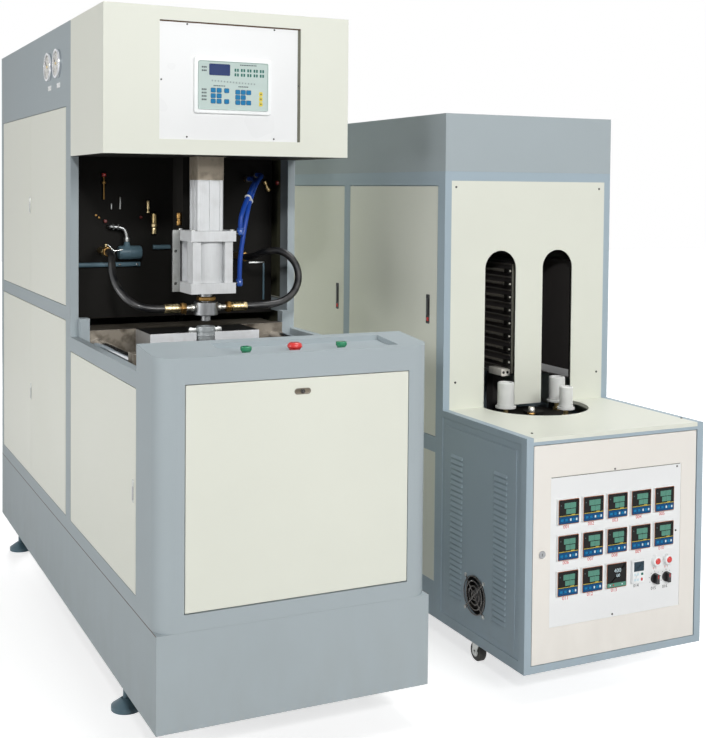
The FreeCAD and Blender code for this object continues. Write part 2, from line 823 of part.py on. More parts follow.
def bottle_cavity():
    """The bottle that the two mould halves form, turned about the blowing axis."""
    base_z = mould_base + cavity_floor_to_base
    body_top = base_z + cavity_height
    neck_z = body_top + shoulder_height
    points = [V(0, 0, base_z), V(cavity_radius - base_round, 0, base_z),
              V(cavity_radius, 0, base_z + base_round), V(cavity_radius, 0, body_top),
              V(cavity_neck_radius, 0, neck_z), V(cavity_neck_radius, 0, ring_bottom), V(0, 0, ring_bottom)]
    bend = base_round * math.sqrt(0.5)
    foot_middle = V(cavity_radius - base_round + bend, 0, base_z + base_round - bend)
    shoulder_middle = V(cavity_neck_radius + (cavity_radius - cavity_neck_radius) * 0.62, 0,
                        body_top + shoulder_height * 0.58)
    edges = [Part.LineSegment(points[0], points[1]).toShape(),
             Part.Arc(points[1], foot_middle, points[2]).toShape(),
             Part.LineSegment(points[2], points[3]).toShape(),
             Part.Arc(points[3], shoulder_middle, points[4]).toShape(),
             Part.LineSegment(points[4], points[5]).toShape(),
             Part.LineSegment(points[5], points[6]).toShape(),
             Part.LineSegment(points[6], points[0]).toShape()]
    profile = Part.Face(Part.Wire(edges))
    bottle = profile.revolve(V(0, 0, 0), Z_AXIS, 360)
    bottle.translate(V(axis_x, 0, 0))
    return bottle


def mould_half(parting_y, depth, side):
    """Half of the split mould. parting_y is its face; side is 1 for the rear half, -1 for the front."""
    y = sorted((parting_y, parting_y + side * depth))
    body = block((mould_left, mould_right), y, (mould_base, mould_top))
    cavity = bottle_cavity()
    cavity.translate(V(0, parting_y, 0))
    pocket = rod((axis_x, parting_y, ring_bottom), ring_radius + free_gap, mould_top, Z_AXIS)
    return less(body, [cavity, pocket])


def neck_ring():
    """The chromed ring that holds the preform's neck, with an ear on each side over the mould."""
    ring = rod((axis_x, axis_y, ring_bottom), ring_radius, ring_top - ring_bottom, Z_AXIS)
    ears = block((axis_x - ring_ear_reach, axis_x + ring_ear_reach), (axis_y + 1, axis_y + 1 + ring_ear_depth),
                 (mould_top, mould_top + ring_ear_height))
    bore = rod((axis_x, axis_y, ring_bottom), ring_bore, ring_top - ring_bottom, Z_AXIS)
    return joined([ring, ears]).cut(bore)


def seal_cylinder():
    """The cylinder that presses the blowing head down: two square flanges and a profiled barrel."""
    def square(half, z_low, z_high):
        return block((axis_x - half, axis_x + half), (axis_y - half, axis_y + half), (z_low, z_high))

    lower_top = seal_bottom + seal_flange_height
    upper_low = seal_top - seal_flange_height
    rod_hole = rod((axis_x, axis_y, seal_bottom), seal_rod_radius + fit_gap, seal_flange_height, Z_AXIS)
    lower = square(seal_half, seal_bottom, lower_top).cut(rod_hole)
    through = rod((axis_x, axis_y, upper_low), stretch_rod_radius + rod_gap, seal_flange_height, Z_AXIS)
    upper = square(seal_half, upper_low, seal_top).cut(through)
    length = upper_low - lower_top
    barrel = [rod((axis_x, axis_y, lower_top), seal_tube_radius, length, Z_AXIS)]
    for side_x in (-1, 1):
        for side_y in (-1, 1):
            x = sorted((axis_x + side_x * seal_column_reach, axis_x + side_x * (seal_column_reach - seal_column)))
            y = sorted((axis_y + side_y * seal_column_reach, axis_y + side_y * (seal_column_reach - seal_column)))
            barrel.append(block(x, y, (lower_top, upper_low)))
    bore = rod((axis_x, axis_y, lower_top), seal_bore_radius, length, Z_AXIS)
    return group([lower, upper, joined(barrel).cut(bore)])


def cylinder_bracket():
    """The folded bracket that clasps the sealing cylinder, with a drilled lip on each side, and the box
    column that hangs it from the cross beam."""
    back = axis_y + seal_half
    lip_y = axis_y + lip_behind_axis
    high = (seal_bottom, seal_top)
    reach = seal_half + bracket_cheek
    pieces = [block((axis_x - reach, axis_x + reach), (back, back + bracket_back), high)]
    lips = []
    for side in (-1, 1):
        cheek_x = sorted((axis_x + side * seal_half, axis_x + side * reach))
        pieces.append(block(cheek_x, (lip_y, back + bracket_back), high))
        lip_x = sorted((axis_x + side * seal_half, axis_x + side * (seal_half + bracket_lip)))
        lip = block(lip_x, (lip_y, lip_y + bracket_cheek), high)
        hole_x = axis_x + side * (seal_half + bracket_lip * 0.6)
        holes = [rod((hole_x, lip_y, z), lip_hole_radius, bracket_cheek, Y_AXIS) for z in lip_hole_z]
        lips.append(less(lip, holes))
    clasp = joined(pieces + lips)
    column_half = backbone_width / 2
    column = block((axis_x - column_half, axis_x + column_half), (back + bracket_back, cabinet_front),
                   (seal_bottom, crossbeam_bottom + crossbeam_height))
    return group([clasp, column])


def stretch_cylinder():
    """The stretch cylinder: a grooved aluminium profile with a round bore, closed at both ends."""
    half = stretch_width / 2
    body = block((axis_x - half, axis_x + half), (axis_y - half, axis_y + half), (seal_top, stretch_top))
    corners = [edge for edge in body.Edges if abs(edge.Vertexes[0].Z - edge.Vertexes[-1].Z) > 1]
    body = body.makeFillet(stretch_corner, corners)
    grooves = []
    groove_half = stretch_groove_width / 2
    for side_of_rib in (-1, 1):
        place = side_of_rib * (stretch_rib / 2 + groove_half)
        front = (axis_y - half, axis_y - half + stretch_groove_depth)
        grooves.append(block((axis_x + place - groove_half, axis_x + place + groove_half), front,
                             (seal_top, stretch_top)))
        for side in ((axis_x - half, axis_x - half + stretch_groove_depth),
                     (axis_x + half - stretch_groove_depth, axis_x + half)):
            grooves.append(block(side, (axis_y + place - groove_half, axis_y + place + groove_half),
                                 (seal_top, stretch_top)))
    bore = rod((axis_x, axis_y, seal_top + stretch_end_wall), stretch_bore_radius,
               stretch_top - seal_top - 2 * stretch_end_wall, Z_AXIS)
    hole = rod((axis_x, axis_y, seal_top), stretch_rod_radius + rod_gap, stretch_end_wall, Z_AXIS)
    return less(body, grooves + [bore, hole])


def stretch_rod():
    """The thin rod that stretches the preform, with its piston in the stretch cylinder."""
    tip = nozzle_bottom + stretch_tip_above_nozzle
    piston_top = stretch_top - stretch_end_wall - free_gap
    piston_low = piston_top - stretch_piston_height
    shaft = rod((axis_x, axis_y, tip), stretch_rod_radius, piston_low - tip, Z_AXIS)
    end_edge = [edge for edge in shaft.Edges if abs(edge.CenterOfMass.z - tip) < 0.01]
    shaft = shaft.makeFillet(stretch_rod_radius * 0.8, end_edge)
    piston = rod((axis_x, axis_y, piston_low), stretch_bore_radius - fit_gap, stretch_piston_height, Z_AXIS)
    return joined([shaft, piston])


def blow_manifold():
    """The round manifold with its nozzle below and the hollow piston rod that carries it above."""
    drum = rod((axis_x, axis_y, manifold_bottom), manifold_radius, manifold_top - manifold_bottom, Z_AXIS)
    rims = [edge for edge in drum.Edges if len(edge.Vertexes) == 1]
    drum = drum.makeChamfer(2, rims)
    nozzle = rod((axis_x, axis_y, nozzle_bottom), nozzle_radius, manifold_bottom - nozzle_bottom, Z_AXIS)
    stem = rod((axis_x, axis_y, manifold_top), seal_rod_radius, seal_piston_bottom - manifold_top, Z_AXIS)
    piston = rod((axis_x, axis_y, seal_piston_bottom), seal_bore_radius - fit_gap, seal_piston_height, Z_AXIS)
    through = rod((axis_x, axis_y, nozzle_bottom), stretch_rod_radius + rod_gap, seal_top - nozzle_bottom, Z_AXIS)
    return joined([drum, nozzle, stem, piston]).cut(through)


def hose_fitting(side):
    """Nut, coupling and ferrule between the manifold and one hose. side is -1 or 1."""
    axis = V(side, 0, 0)
    x = axis_x + side * manifold_radius
    nut = hexagon_nut((x, axis_y, port_z), port_nut_across, port_nut_width, 0, axis)
    x = x + side * port_nut_width
    body = rod((x, axis_y, port_z), coupling_radius, coupling_length, axis)
    nut_x = x + side * (coupling_length - coupling_nut_length) / 2
    coupling_nut = hexagon_nut((nut_x, axis_y, port_z), coupling_nut_across, coupling_nut_length, 0, axis)
    x = x + side * coupling_length
    ferrule = rod((x, axis_y, port_z), ferrule_radius, ferrule_length, axis)
    return joined([nut, body, coupling_nut, ferrule])


def brass_fittings():
    """The lock nut on the piston rod and the fittings of both hoses."""
    lock_nut = hexagon_nut((axis_x, axis_y, lock_nut_bottom), lock_nut_across, lock_nut_height,
                           seal_rod_radius, Z_AXIS)
    return group([lock_nut, hose_fitting(-1), hose_fitting(1)])


# Routes of the hoses and tubes, from end to end. Each first point lies on the fitting that it leaves.
left_hose_route = [(axis_x - hose_end, axis_y, port_z), (196, 760, 1105), (148, 780, 1126),
                   (122, 818, 1162), (113, 862, 1204), (120, 900, 1250), (134, 952, 1274),
                   (left_outlet[0], outlet_face_y, left_outlet[1])]
right_hose_route = [(axis_x + hose_end, axis_y, port_z), (592, 760, 1105), (656, 766, 1112),
                    (708, 780, 1142), (733, 798, 1194), (724, 822, 1246), (690, 854, 1279),
                    (643, 892, 1274), (616, 944, 1250), (right_outlet[0], outlet_face_y, right_outlet[1])]
long_tube_start = (axis_x + seal_half + long_port[0], axis_y + long_port[1], long_port[2])
short_tube_start = (axis_x + seal_half + short_port[0], axis_y + short_port[1], short_port[2])
tube_end_y = bay_panel_y - bulkhead_length
long_tube_route = [long_tube_start, (502, 756, 1236), (507, 757, 1281), (518, 760, 1347), (536, 775, 1412),
                   (554, 800, 1445), (598, 870, 1492), (646, 950, 1521),
                   (long_tube_end[0], 1016, long_tube_end[1]), (long_tube_end[0], tube_end_y, long_tube_end[1])]
short_tube_route = [short_tube_start, (498, 740, 1384), (507, 746, 1408), (521, 762, 1432),
                    (543, 790, 1456), (581, 850, 1490), (624, 930, 1509), (short_tube_end[0], 1010, short_tube_end[1]),
                    (short_tube_end[0], tube_end_y, short_tube_end[1])]


def air_line_set():
    """Air parts on the black sheet: reservoir with its bent pipe, bars, valves, hose outlets, and the
    fittings at both ends of the air tubes."""
    parts = []
    face = bay_panel_y
    centre_y = face - reservoir_radius
    tank = rod((reservoir_left, centre_y, reservoir_z), reservoir_radius, reservoir_right - reservoir_left, X_AXIS)
    riser = rod((riser_x, centre_y, reservoir_z), riser_radius, riser_top - reservoir_z, Z_AXIS)
    collar = rod((riser_x, centre_y, riser_top - collar_height), collar_radius, collar_height, Z_AXIS)
    bend = [(riser_x, centre_y, riser_top), (riser_x, centre_y, bent_pipe_z), (bent_pipe_end, centre_y, bent_pipe_z),
            (bent_pipe_end, face, bent_pipe_z)]
    bent_pipe = tube_along(bend, bent_pipe_radius)[0]
    parts.append(joined([tank, riser, collar, bent_pipe]))
    bar_y = (face - air_bar_size, face)
    for x, z in (((inner_left, reservoir_right), air_bar_z), (stub_x, stub_z)):
        parts.append(block(x, bar_y, (z - air_bar_size / 2, z + air_bar_size / 2)))
    for x, z in zip(valve_x, valve_z):
        half = valve_size / 2
        parts.append(block((x - half, x + half), (face - valve_size, face),
                           (z - valve_height / 2, z + valve_height / 2)))
    parts.append(rod((needle_x, face - needle_radius, needle_z[0]), needle_radius,
                     needle_z[1] - needle_z[0], Z_AXIS))
    knob_y = face - knob_valve_radius
    knob_low = knob_valve_z[1] - 1.5 * knob_valve_radius
    stem = rod((knob_valve_x, knob_y, knob_valve_z[0]), knob_valve_stem, knob_low - knob_valve_z[0], Z_AXIS)
    knob = rod((knob_valve_x, knob_y, knob_low), knob_valve_radius, 1.5 * knob_valve_radius, Z_AXIS)
    parts.append(joined([stem, knob]))
    for x, low, high in pin_places:
        parts.append(rod((x, face - knob_valve_stem, low), knob_valve_stem, high - low, Z_AXIS))
    for x, z in (left_outlet, right_outlet):
        pipe = rod((x, outlet_face_y + outlet_length, z), hose_radius, face - outlet_face_y - outlet_length, Y_AXIS)
        nut = hexagon_nut((x, outlet_face_y, z), outlet_radius * 2, outlet_length, 0, Y_AXIS)
        parts.append(joined([pipe, nut]))
    for x, z in (long_tube_end, short_tube_end):
        parts.append(rod((x, tube_end_y, z), tube_fitting_radius, bulkhead_length, Y_AXIS))
    for start, port in ((long_tube_start, long_port), (short_tube_start, short_port)):
        low_z = start[2] - 2 * tube_fitting_radius
        elbow = rod((start[0], start[1], low_z), tube_fitting_radius, start[2] - low_z, Z_AXIS)
        arm_z = min(low_z + tube_fitting_radius, seal_top - tube_fitting_radius)
        arm = rod((axis_x + seal_half, start[1], arm_z), tube_fitting_radius * 0.6, port[0], X_AXIS)
        parts.append(joined([elbow, arm]))
    return group(parts)


# ---- derived places of the heater ----
heater_left = blower_width + heater_gap
heater_right = heater_left + heater_width
heater_middle = (heater_left + heater_right) / 2
heater_back = heater_front + heater_depth
heater_in_left = heater_left + heater_post
heater_in_right = heater_right - heater_post
tall_front_back = heater_step_y + heater_post_depth
rear_heater_post = heater_back - heater_post_depth
slot_x = (heater_middle - slot_spacing / 2, heater_middle + slot_spacing / 2)
control_door_right = heater_in_right
split_post = (heater_door_split, heater_door_split + heater_post_depth)


def heater_frame(hinge_cutters):
    """Posts, rails, desk rails and the oven deck of the heater."""
    members = []
    for left in (heater_left, heater_in_right):
        side = (left, left + heater_post)
        for y in ((heater_step_y, tall_front_back), split_post, (rear_heater_post, heater_back)):
            members.append(block(side, y, (heater_base, seam_z)))
        members.append(block(side, (heater_front, heater_front + desk_post_depth), (heater_base, table_top)))
        bays = ((tall_front_back, split_post[0]), (split_post[1], rear_heater_post))
        for y in bays:
            members.append(block(side, y, (heater_base, heater_plinth_top)))
            members.append(block(side, y, (heater_mid_rail_bottom, heater_door_bottom)))
            members.append(block(side, y, (heater_door_top, seam_z)))
        desk = (heater_front + desk_post_depth, heater_step_y)
        members.append(block(side, desk, (heater_base, heater_base_rail)))
        members.append(block(side, desk, (control_door_top, table_top)))
    across = (heater_in_left, heater_in_right)
    front = (heater_front, heater_front + desk_post_depth)
    members.append(block(across, front, (heater_base, control_door_bottom)))
    members.append(block(across, front, (control_door_top, table_top - table_sheet)))
    members.append(block(across, (heater_step_y, tall_front_back), (slot_front_top(), seam_z)))
    members.append(block(across, (rear_heater_post, heater_back - sheet), (heater_base, heater_plinth_top)))
    members.append(block(across, (rear_heater_post, heater_back - sheet), (heater_door_top, seam_z)))
    members.append(block(across, (oven_deck_front, rear_heater_post), (oven_deck_z, oven_deck_z + sheet)))
    floor = block((heater_in_left, heater_in_right), (heater_front + desk_post_depth, rear_heater_post),
                  (heater_base, heater_base + sheet))
    members.append(floor)
    return group([less(member, hinge_cutters) for member in members])


def slot_front_top():
    """Top edge of the slot panel."""
    return seam_z - heater_post - 6


def heater_top_cap():
    """The grey casing on top of the heater, open below."""
    outer = block((heater_left, heater_right), (heater_step_y, heater_back), (seam_z, heater_roof))
    inner = block((heater_left + sheet, heater_right - sheet), (heater_step_y + sheet, heater_back - sheet),
                  (seam_z, heater_roof - sheet))
    return outer.cut(inner)


def slot_panel():
    """The pale front panel of the oven, with two round-topped slots that the preforms pass."""
    panel = block((heater_in_left, heater_in_right), (heater_step_y, heater_step_y + sheet),
                  (table_top, slot_front_top()))
    radius = slot_width / 2
    for x in slot_x:
        straight = block((x - radius, x + radius), (heater_step_y, heater_step_y + sheet),
                         (slot_bottom, slot_top - radius))
        arch = rod((x, heater_step_y, slot_top - radius), radius, sheet, Y_AXIS)
        panel = panel.cut(straight).cut(arch)
    return panel


def heater_table():
    """The desk's pale table, cut out round the preform wheel, with its back edge under the slot panel."""
    top = block((heater_in_left, heater_in_right), (heater_front, tall_front_back),
                (table_top - table_sheet, table_top))
    hole = rod((heater_middle, wheel_y, table_top - table_sheet), table_hole_radius, table_sheet, Z_AXIS)
    return top.cut(hole)


def louvre(y_middle, z_top):
    """One pressed louvre: a wedge that stands out of the panel and opens downwards."""
    half = louvre_length / 2
    face = heater_left
    points = [V(face, y_middle - half, z_top), V(face - louvre_proud, y_middle - half, z_top - louvre_height),
              V(face, y_middle - half, z_top - louvre_height), V(face, y_middle - half, z_top)]
    return Part.Face(Part.makePolygon(points)).extrude(V(0, louvre_length, 0))


def louvre_panels():
    """The desk's two side panels, with a raised field, two columns of louvres and a fan opening."""
    y = (heater_front + desk_post_depth, heater_step_y)
    z = (heater_base_rail, control_door_top)
    plate = block((heater_left + panel_emboss, heater_left + panel_emboss + sheet), y, z)
    field_y = (y[0] + panel_border, y[1] - panel_border)
    field_z = (z[0] + panel_border, z[1] - panel_border)
    field = block((heater_left, heater_left + panel_emboss), field_y, field_z)
    solid = joined([plate, field])
    for column_y in (louvre_front_y, louvre_back_y):
        for row in range(louvre_rows):
            wedge = louvre(column_y, louvre_top_z - row * louvre_pitch)
            solid = solid.fuse(wedge)
    fan_hole = rod((heater_left - louvre_proud, fan_y, fan_z), fan_radius, fan_frame_depth, X_AXIS)
    left = solid.removeSplitter().cut(fan_hole)
    return group([left, mirrored(left, heater_middle)])


def side_covers():
    """Bolted covers: the blowing cabinet's right side, and the heater's right side, back and foot."""
    covers = blower_right_covers()
    left = (heater_left, heater_left + door_depth)
    right = (heater_right - door_depth, heater_right)
    lower = (heater_plinth_top, heater_mid_rail_bottom)
    upper = (heater_door_bottom, heater_door_top)
    for y in ((tall_front_back, split_post[0]), (split_post[1], rear_heater_post)):
        covers.append(pan(left, y, lower, "-x", door_sheet))
        covers.append(pan(right, y, lower, "+x", door_sheet))
        covers.append(pan(right, y, upper, "+x", door_sheet))
    covers.append(block((heater_in_left, heater_in_right), (heater_back - sheet, heater_back),
                        (heater_base, seam_z)))
    return group(covers)


def fan_guard():
    """The fan's square frame behind the louvred panel and the wire guard in its opening."""
    inside = heater_left + panel_emboss + sheet
    half = fan_frame_size / 2
    frame = block((inside, inside + fan_frame_depth), (fan_y - half, fan_y + half), (fan_z - half, fan_z + half))
    tunnel = rod((inside, fan_y, fan_z), fan_radius, fan_frame_depth, X_AXIS)
    frame = frame.cut(tunnel)
    motor_x = inside + fan_frame_depth - 4
    motor = rod((motor_x, fan_y, fan_z), fan_hub_radius, 4, X_AXIS)
    arms = []
    for width_y, width_z in ((fan_radius + 3, guard_wire), (guard_wire, fan_radius + 3)):
        arms.append(block((motor_x, motor_x + 4), (fan_y - width_y, fan_y + width_y),
                          (fan_z - width_z, fan_z + width_z)))
    axle = rod((inside + 8, fan_y, fan_z), fan_axle_radius, fan_frame_depth - 8, X_AXIS)
    housing = joined([frame, motor, axle] + arms)
    face_x = heater_left - 2 * guard_wire
    wires = []
    for i in range(guard_rings):
        radius = fan_radius * (i + 1) / guard_rings
        ring = rod((face_x, fan_y, fan_z), radius, guard_wire, X_AXIS)
        wires.append(ring.cut(rod((face_x, fan_y, fan_z), radius - 1.5 * guard_wire, guard_wire, X_AXIS)))
    lug_reach = fan_radius + 12
    for turn in (45, 135):
        bar = block((face_x, face_x + guard_wire), (fan_y - lug_reach, fan_y + lug_reach),
                    (fan_z - guard_wire, fan_z + guard_wire))
        bar.rotate(V(face_x, fan_y, fan_z), X_AXIS, turn)
        wires.append(bar)
    for turn in (45, 135, 225, 315):
        y = fan_y + lug_reach * math.cos(math.radians(turn))
        z = fan_z + lug_reach * math.sin(math.radians(turn))
        wires.append(rod((face_x, y, z), guard_lug_radius, 2 * guard_wire, X_AXIS))
    return group([housing, joined(wires)])


def fan_rotor():
    """The fan's hub with its twisted blades, on the axle."""
    inside = heater_left + panel_emboss + sheet
    low_x = inside + 6
    length = fan_frame_depth - 14
    hub = rod((low_x, fan_y, fan_z), fan_hub_radius, length, X_AXIS)
    tip = fan_radius - 3
    rotor = [hub]
    for i in range(fan_blades):
        span = tip - fan_hub_radius + 2
        blade = Part.makeBox(length * 0.9, 2.0, span, V(-length * 0.45, -1.0, fan_hub_radius - 2))
        blade.rotate(V(0, 0, 0), Z_AXIS, 35)
        blade.rotate(V(0, 0, 0), X_AXIS, 360.0 * i / fan_blades)
        blade.translate(V(low_x + length / 2, fan_y, fan_z))
        rotor.append(blade)
    bore = rod((low_x, fan_y, fan_z), fan_axle_radius + fit_gap, length, X_AXIS)
    return joined(rotor).cut(bore)


def wheel_drive():
    """The gear motor under the preform wheel, on its column from the desk's floor."""
    half = drive_size / 2
    box = block((heater_middle - half, heater_middle + half), (wheel_y - half, wheel_y + half),
                (drive_top - drive_height, drive_top))
    column = rod((heater_middle, wheel_y, heater_base + sheet), half * 0.7,
                 drive_top - drive_height - heater_base - sheet, Z_AXIS)
    shaft_hole = rod((heater_middle, wheel_y, drive_top - 30), wheel_shaft_radius + fit_gap, 30, Z_AXIS)
    return joined([box, column]).cut(shaft_hole)


def preform_wheel():
    """The toothed wheel that carries the preform holders, with its hub and shaft."""
    disc = rod((heater_middle, wheel_y, wheel_bottom), wheel_radius, wheel_thickness, Z_AXIS)
    notches = []
    for i in range(wheel_teeth):
        angle = 2 * math.pi * i / wheel_teeth
        x = heater_middle + (wheel_radius + 3) * math.cos(angle)
        y = wheel_y + (wheel_radius + 3) * math.sin(angle)
        notches.append(rod((x, y, wheel_bottom), 7, wheel_thickness, Z_AXIS))
    disc = less(disc, notches)
    hub = rod((heater_middle, wheel_y, wheel_bottom - 20), wheel_hub_radius, wheel_thickness + 30, Z_AXIS)
    shaft_low = drive_top - 29
    shaft = rod((heater_middle, wheel_y, shaft_low), wheel_shaft_radius, wheel_bottom - shaft_low, Z_AXIS)
    return joined([disc, hub, shaft])


def preform_holders():
    """Three preform holders on their spindles, standing on the wheel."""
    holders = []
    for degrees, holder_radius, holder_top in zip(holder_angles, holder_radii, holder_tops):
        angle = math.radians(degrees)
        x = heater_middle + wheel_track_radius * math.cos(angle)
        y = wheel_y + wheel_track_radius * math.sin(angle)
        flange = rod((x, y, holder_bottom), holder_radius + holder_flange_reach, holder_flange, Z_AXIS)
        body = rod((x, y, holder_bottom), holder_radius, holder_top - holder_bottom, Z_AXIS)
        top_edge = [edge for edge in body.Edges if abs(edge.CenterOfMass.z - holder_top) < 0.01]
        body = body.makeChamfer(2, top_edge)
        spindle_low = wheel_bottom + wheel_thickness
        spindle = rod((x, y, spindle_low), spindle_radius, holder_bottom - spindle_low, Z_AXIS)
        collar = hexagon_nut((x, y, spindle_low), spindle_radius * 3, 9, 0, Z_AXIS)
        mouth = rod((x, y, holder_top - holder_recess), holder_radius - holder_wall, holder_recess, Z_AXIS)
        holders.append(joined([flange, body, spindle, collar]).cut(mouth))
    return group(holders)


def lamp_bank():
    """The sheet box between the two lanes on its legs, and the outer reflectors with their ledges."""
    half = bank_width / 2
    y = (lamp_front, lamp_front + lamp_length)
    box_outer = block((heater_middle - half, heater_middle + half), y, (bank_bottom, bank_top))
    box_inner = block((heater_middle - half + sheet, heater_middle + half - sheet), y,
                      (bank_bottom + sheet, bank_top - sheet))
    pieces = [box_outer.cut(box_inner)]
    leg_half = bank_leg / 2
    deck = oven_deck_z + sheet
    for leg_y in (lamp_front + front_leg_inset, lamp_front + lamp_length - rear_leg_inset):
        pieces.append(block((heater_middle - leg_half, heater_middle + leg_half), (leg_y, leg_y + bank_leg),
                            (deck, bank_bottom)))
    for side in (-1, 1):
        face = heater_middle + side * reflector_reach
        wall_x = sorted((face, face + side * sheet))
        ledge_x = sorted((face - side * reflector_ledge, face + side * sheet))
        wall = block(wall_x, y, (reflector_bottom, bank_top))
        ledge = block(ledge_x, y, (reflector_bottom, reflector_bottom + sheet))
        stand_y = (lamp_front + lamp_length - bank_leg, lamp_front + lamp_length)
        stands = [block(wall_x, stand_y, (deck, bank_top)),
                  block(wall_x, (oven_deck_front, oven_deck_front + bank_leg), (deck, bank_top))]
        pieces.append(joined([wall, ledge] + stands))
    return group([joined(pieces[:3])] + pieces[3:])


def heating_lamps():
    """Infrared lamps along both sides of the bank, each with a ceramic end at the front and back."""
    lamps = []
    for side in (-1, 1):
        for row in range(lamp_count):
            z = lamp_low_z + row * lamp_pitch
            near = heater_middle + side * bank_width / 2
            half = lamp_end_size / 2
            end_x = sorted((near, near + side * lamp_end_size))
            tube_x = near + side * half
            tube = rod((tube_x, lamp_front, z), lamp_radius, lamp_length, Y_AXIS)
            front = block(end_x, (lamp_front, lamp_front + lamp_end_length), (z - half, z + half))
            rear = block(end_x, (lamp_front + lamp_length - lamp_end_length, lamp_front + lamp_length),
                         (z - half, z + half))
            lamps.append(joined([tube, front, rear]))
    return group(lamps)


def control_window():
    """x and z of the window in the control door."""
    return ((control_door_left + control_window_inset, control_door_right - control_window_inset),
            (control_window_bottom, control_window_top))


def control_door():
    """The desk's pale front door: a pan with an instrument window, hinge pins and a lock boss."""
    low_z = control_door_bottom + door_gap
    high_z = control_door_top - door_gap
    x = (control_door_left + door_gap, control_door_right - hinge_gap)
    y = (heater_front, heater_front + door_depth)
    leaf = pan(x, y, (low_z, high_z), "-y", door_sheet)
    window_x, window_z = control_window()
    leaf = leaf.cut(block(window_x, (y[0], y[0] + door_sheet), window_z))
    pin = rod((x[1] - pin_inset, y[0] + pin_inset, low_z - pin_reach), pin_radius,
              high_z - low_z + 2 * pin_reach, Z_AXIS)
    lock = rod((x[0] + 30, y[0] - 3, (window_z[0] + window_z[1]) / 2), 11, door_depth, Y_AXIS)
    return joined([leaf, pin, lock])


def instrument_places():
    """x and z of the twelve controllers and the meter: five, five and three to a row."""
    places = []
    for row, count in enumerate((5, 5, 3)):
        for column in range(count):
            places.append((instrument_first_x + column * instrument_pitch_x,
                           instrument_first_z - row * instrument_pitch_z))
    return places


def control_unit():
    """The white instrument plate behind the door's window, with its instruments."""
    plate_face = heater_front + door_sheet
    window_x, window_z = control_window()
    plate = block((window_x[0] - plate_overlap, window_x[1] + plate_overlap), (plate_face, plate_face + sheet),
                  (window_z[0] - plate_overlap, window_z[1] + plate_overlap))
    for x in knob_x:
        plate = plate.cut(rod((x, plate_face, knob_z), knob_shaft_radius + free_gap, sheet, Y_AXIS))
    solids = [plate]
    half = instrument_size / 2
    for x, z in instrument_places():
        solids.append(block((x - half, x + half), (plate_face - instrument_proud, plate_face),
                            (z - half, z + half)))
        inner = half - 3
        solids.append(block((x - inner, x + inner), (plate_face + sheet, plate_face + sheet + instrument_depth),
                            (z - inner, z + inner)))
    counter_z = instrument_first_z - 2 * instrument_pitch_z
    solids.append(block((counter_x - counter_width / 2, counter_x + counter_width / 2),
                        (plate_face - instrument_proud, plate_face),
                        (counter_z - counter_height / 2, counter_z + counter_height / 2)))
    for x in knob_x:
        solids.append(rod((x, plate_face - instrument_proud, lamp_button_z), knob_radius,
                          instrument_proud, Y_AXIS))
        switch = block((x - knob_radius, x + knob_radius), (plate_face + sheet, plate_face + sheet + 30),
                       (knob_z - knob_radius, knob_z + knob_radius))
        solids.append(switch.cut(rod((x, plate_face, knob_z), knob_shaft_radius + fit_gap, 25, Y_AXIS)))
    return group(solids)


def knob(x):
    """A rotary switch knob with a grip bar, on its shaft."""
    plate_face = heater_front + door_sheet
    face = plate_face - free_gap
    skirt = rod((x, face - 5, knob_z), knob_radius, 5, Y_AXIS)
    grip = block((x - 5, x + 5), (face - knob_length, face), (knob_z - knob_radius + 1, knob_z + knob_radius - 1))
    shaft = rod((x, face, knob_z), knob_shaft_radius, 24, Y_AXIS)
    return joined([skirt, grip, shaft])


def castor_places():
    """x and y of the four castors' vertical axes, front pair first."""
    left = heater_left + castor_inset
    right = heater_right - castor_inset
    return [(left, castor_front_y), (right, castor_front_y), (left, castor_rear_y), (right, castor_rear_y)]


def castor_fork(x, y, swivel):
    """A castor's fork. A swivelling one turns on a king pin under its plate."""
    plate_low = heater_base - castor_plate_thickness
    wheel_x = castor_wheel_width / 2 + 2
    outer_x = wheel_x + castor_fork_sheet
    crown_top = plate_low - free_gap if swivel else plate_low
    crown_low = 2 * castor_wheel_radius + 4
    axle_y = y + castor_trail
    reach = castor_wheel_radius * 0.6
    crown = block((x - outer_x, x + outer_x), (y - reach, axle_y + reach * 0.6), (crown_low, crown_top))
    pieces = [crown]
    for side in (-1, 1):
        cheek_x = sorted((x + side * wheel_x, x + side * outer_x))
        profile = [V(cheek_x[0], y - reach, crown_top), V(cheek_x[0], axle_y + reach * 0.6, crown_top),
                   V(cheek_x[0], axle_y + 9, castor_wheel_radius - 9),
                   V(cheek_x[0], axle_y - 9, castor_wheel_radius - 9), V(cheek_x[0], y - reach, crown_top)]
        pieces.append(Part.Face(Part.makePolygon(profile)).extrude(V(castor_fork_sheet, 0, 0)))
    pieces.append(rod((x - outer_x - 3, axle_y, castor_wheel_radius), castor_axle_radius,
                      2 * outer_x + 6, X_AXIS))
    if swivel:
        king = rod((x, y, crown_low), castor_king_radius, heater_base - 1 - crown_low, Z_AXIS)
        pieces.append(king)
    return joined(pieces)


def castor_mounts():
    """The four castor plates under the heater, and the fixed forks of the rear pair."""
    parts = []
    half = castor_plate / 2
    for i, (x, y) in enumerate(castor_places()):
        plate = block((x - half, x + half), (y - half, y + half),
                      (heater_base - castor_plate_thickness, heater_base))
        if i < 2:
            hole = rod((x, y, heater_base - castor_plate_thickness), castor_king_radius + fit_gap,
                       castor_plate_thickness, Z_AXIS)
            parts.append(plate.cut(hole))
        else:
            parts.append(joined([plate, castor_fork(x, y, False)]))
    return group(parts)


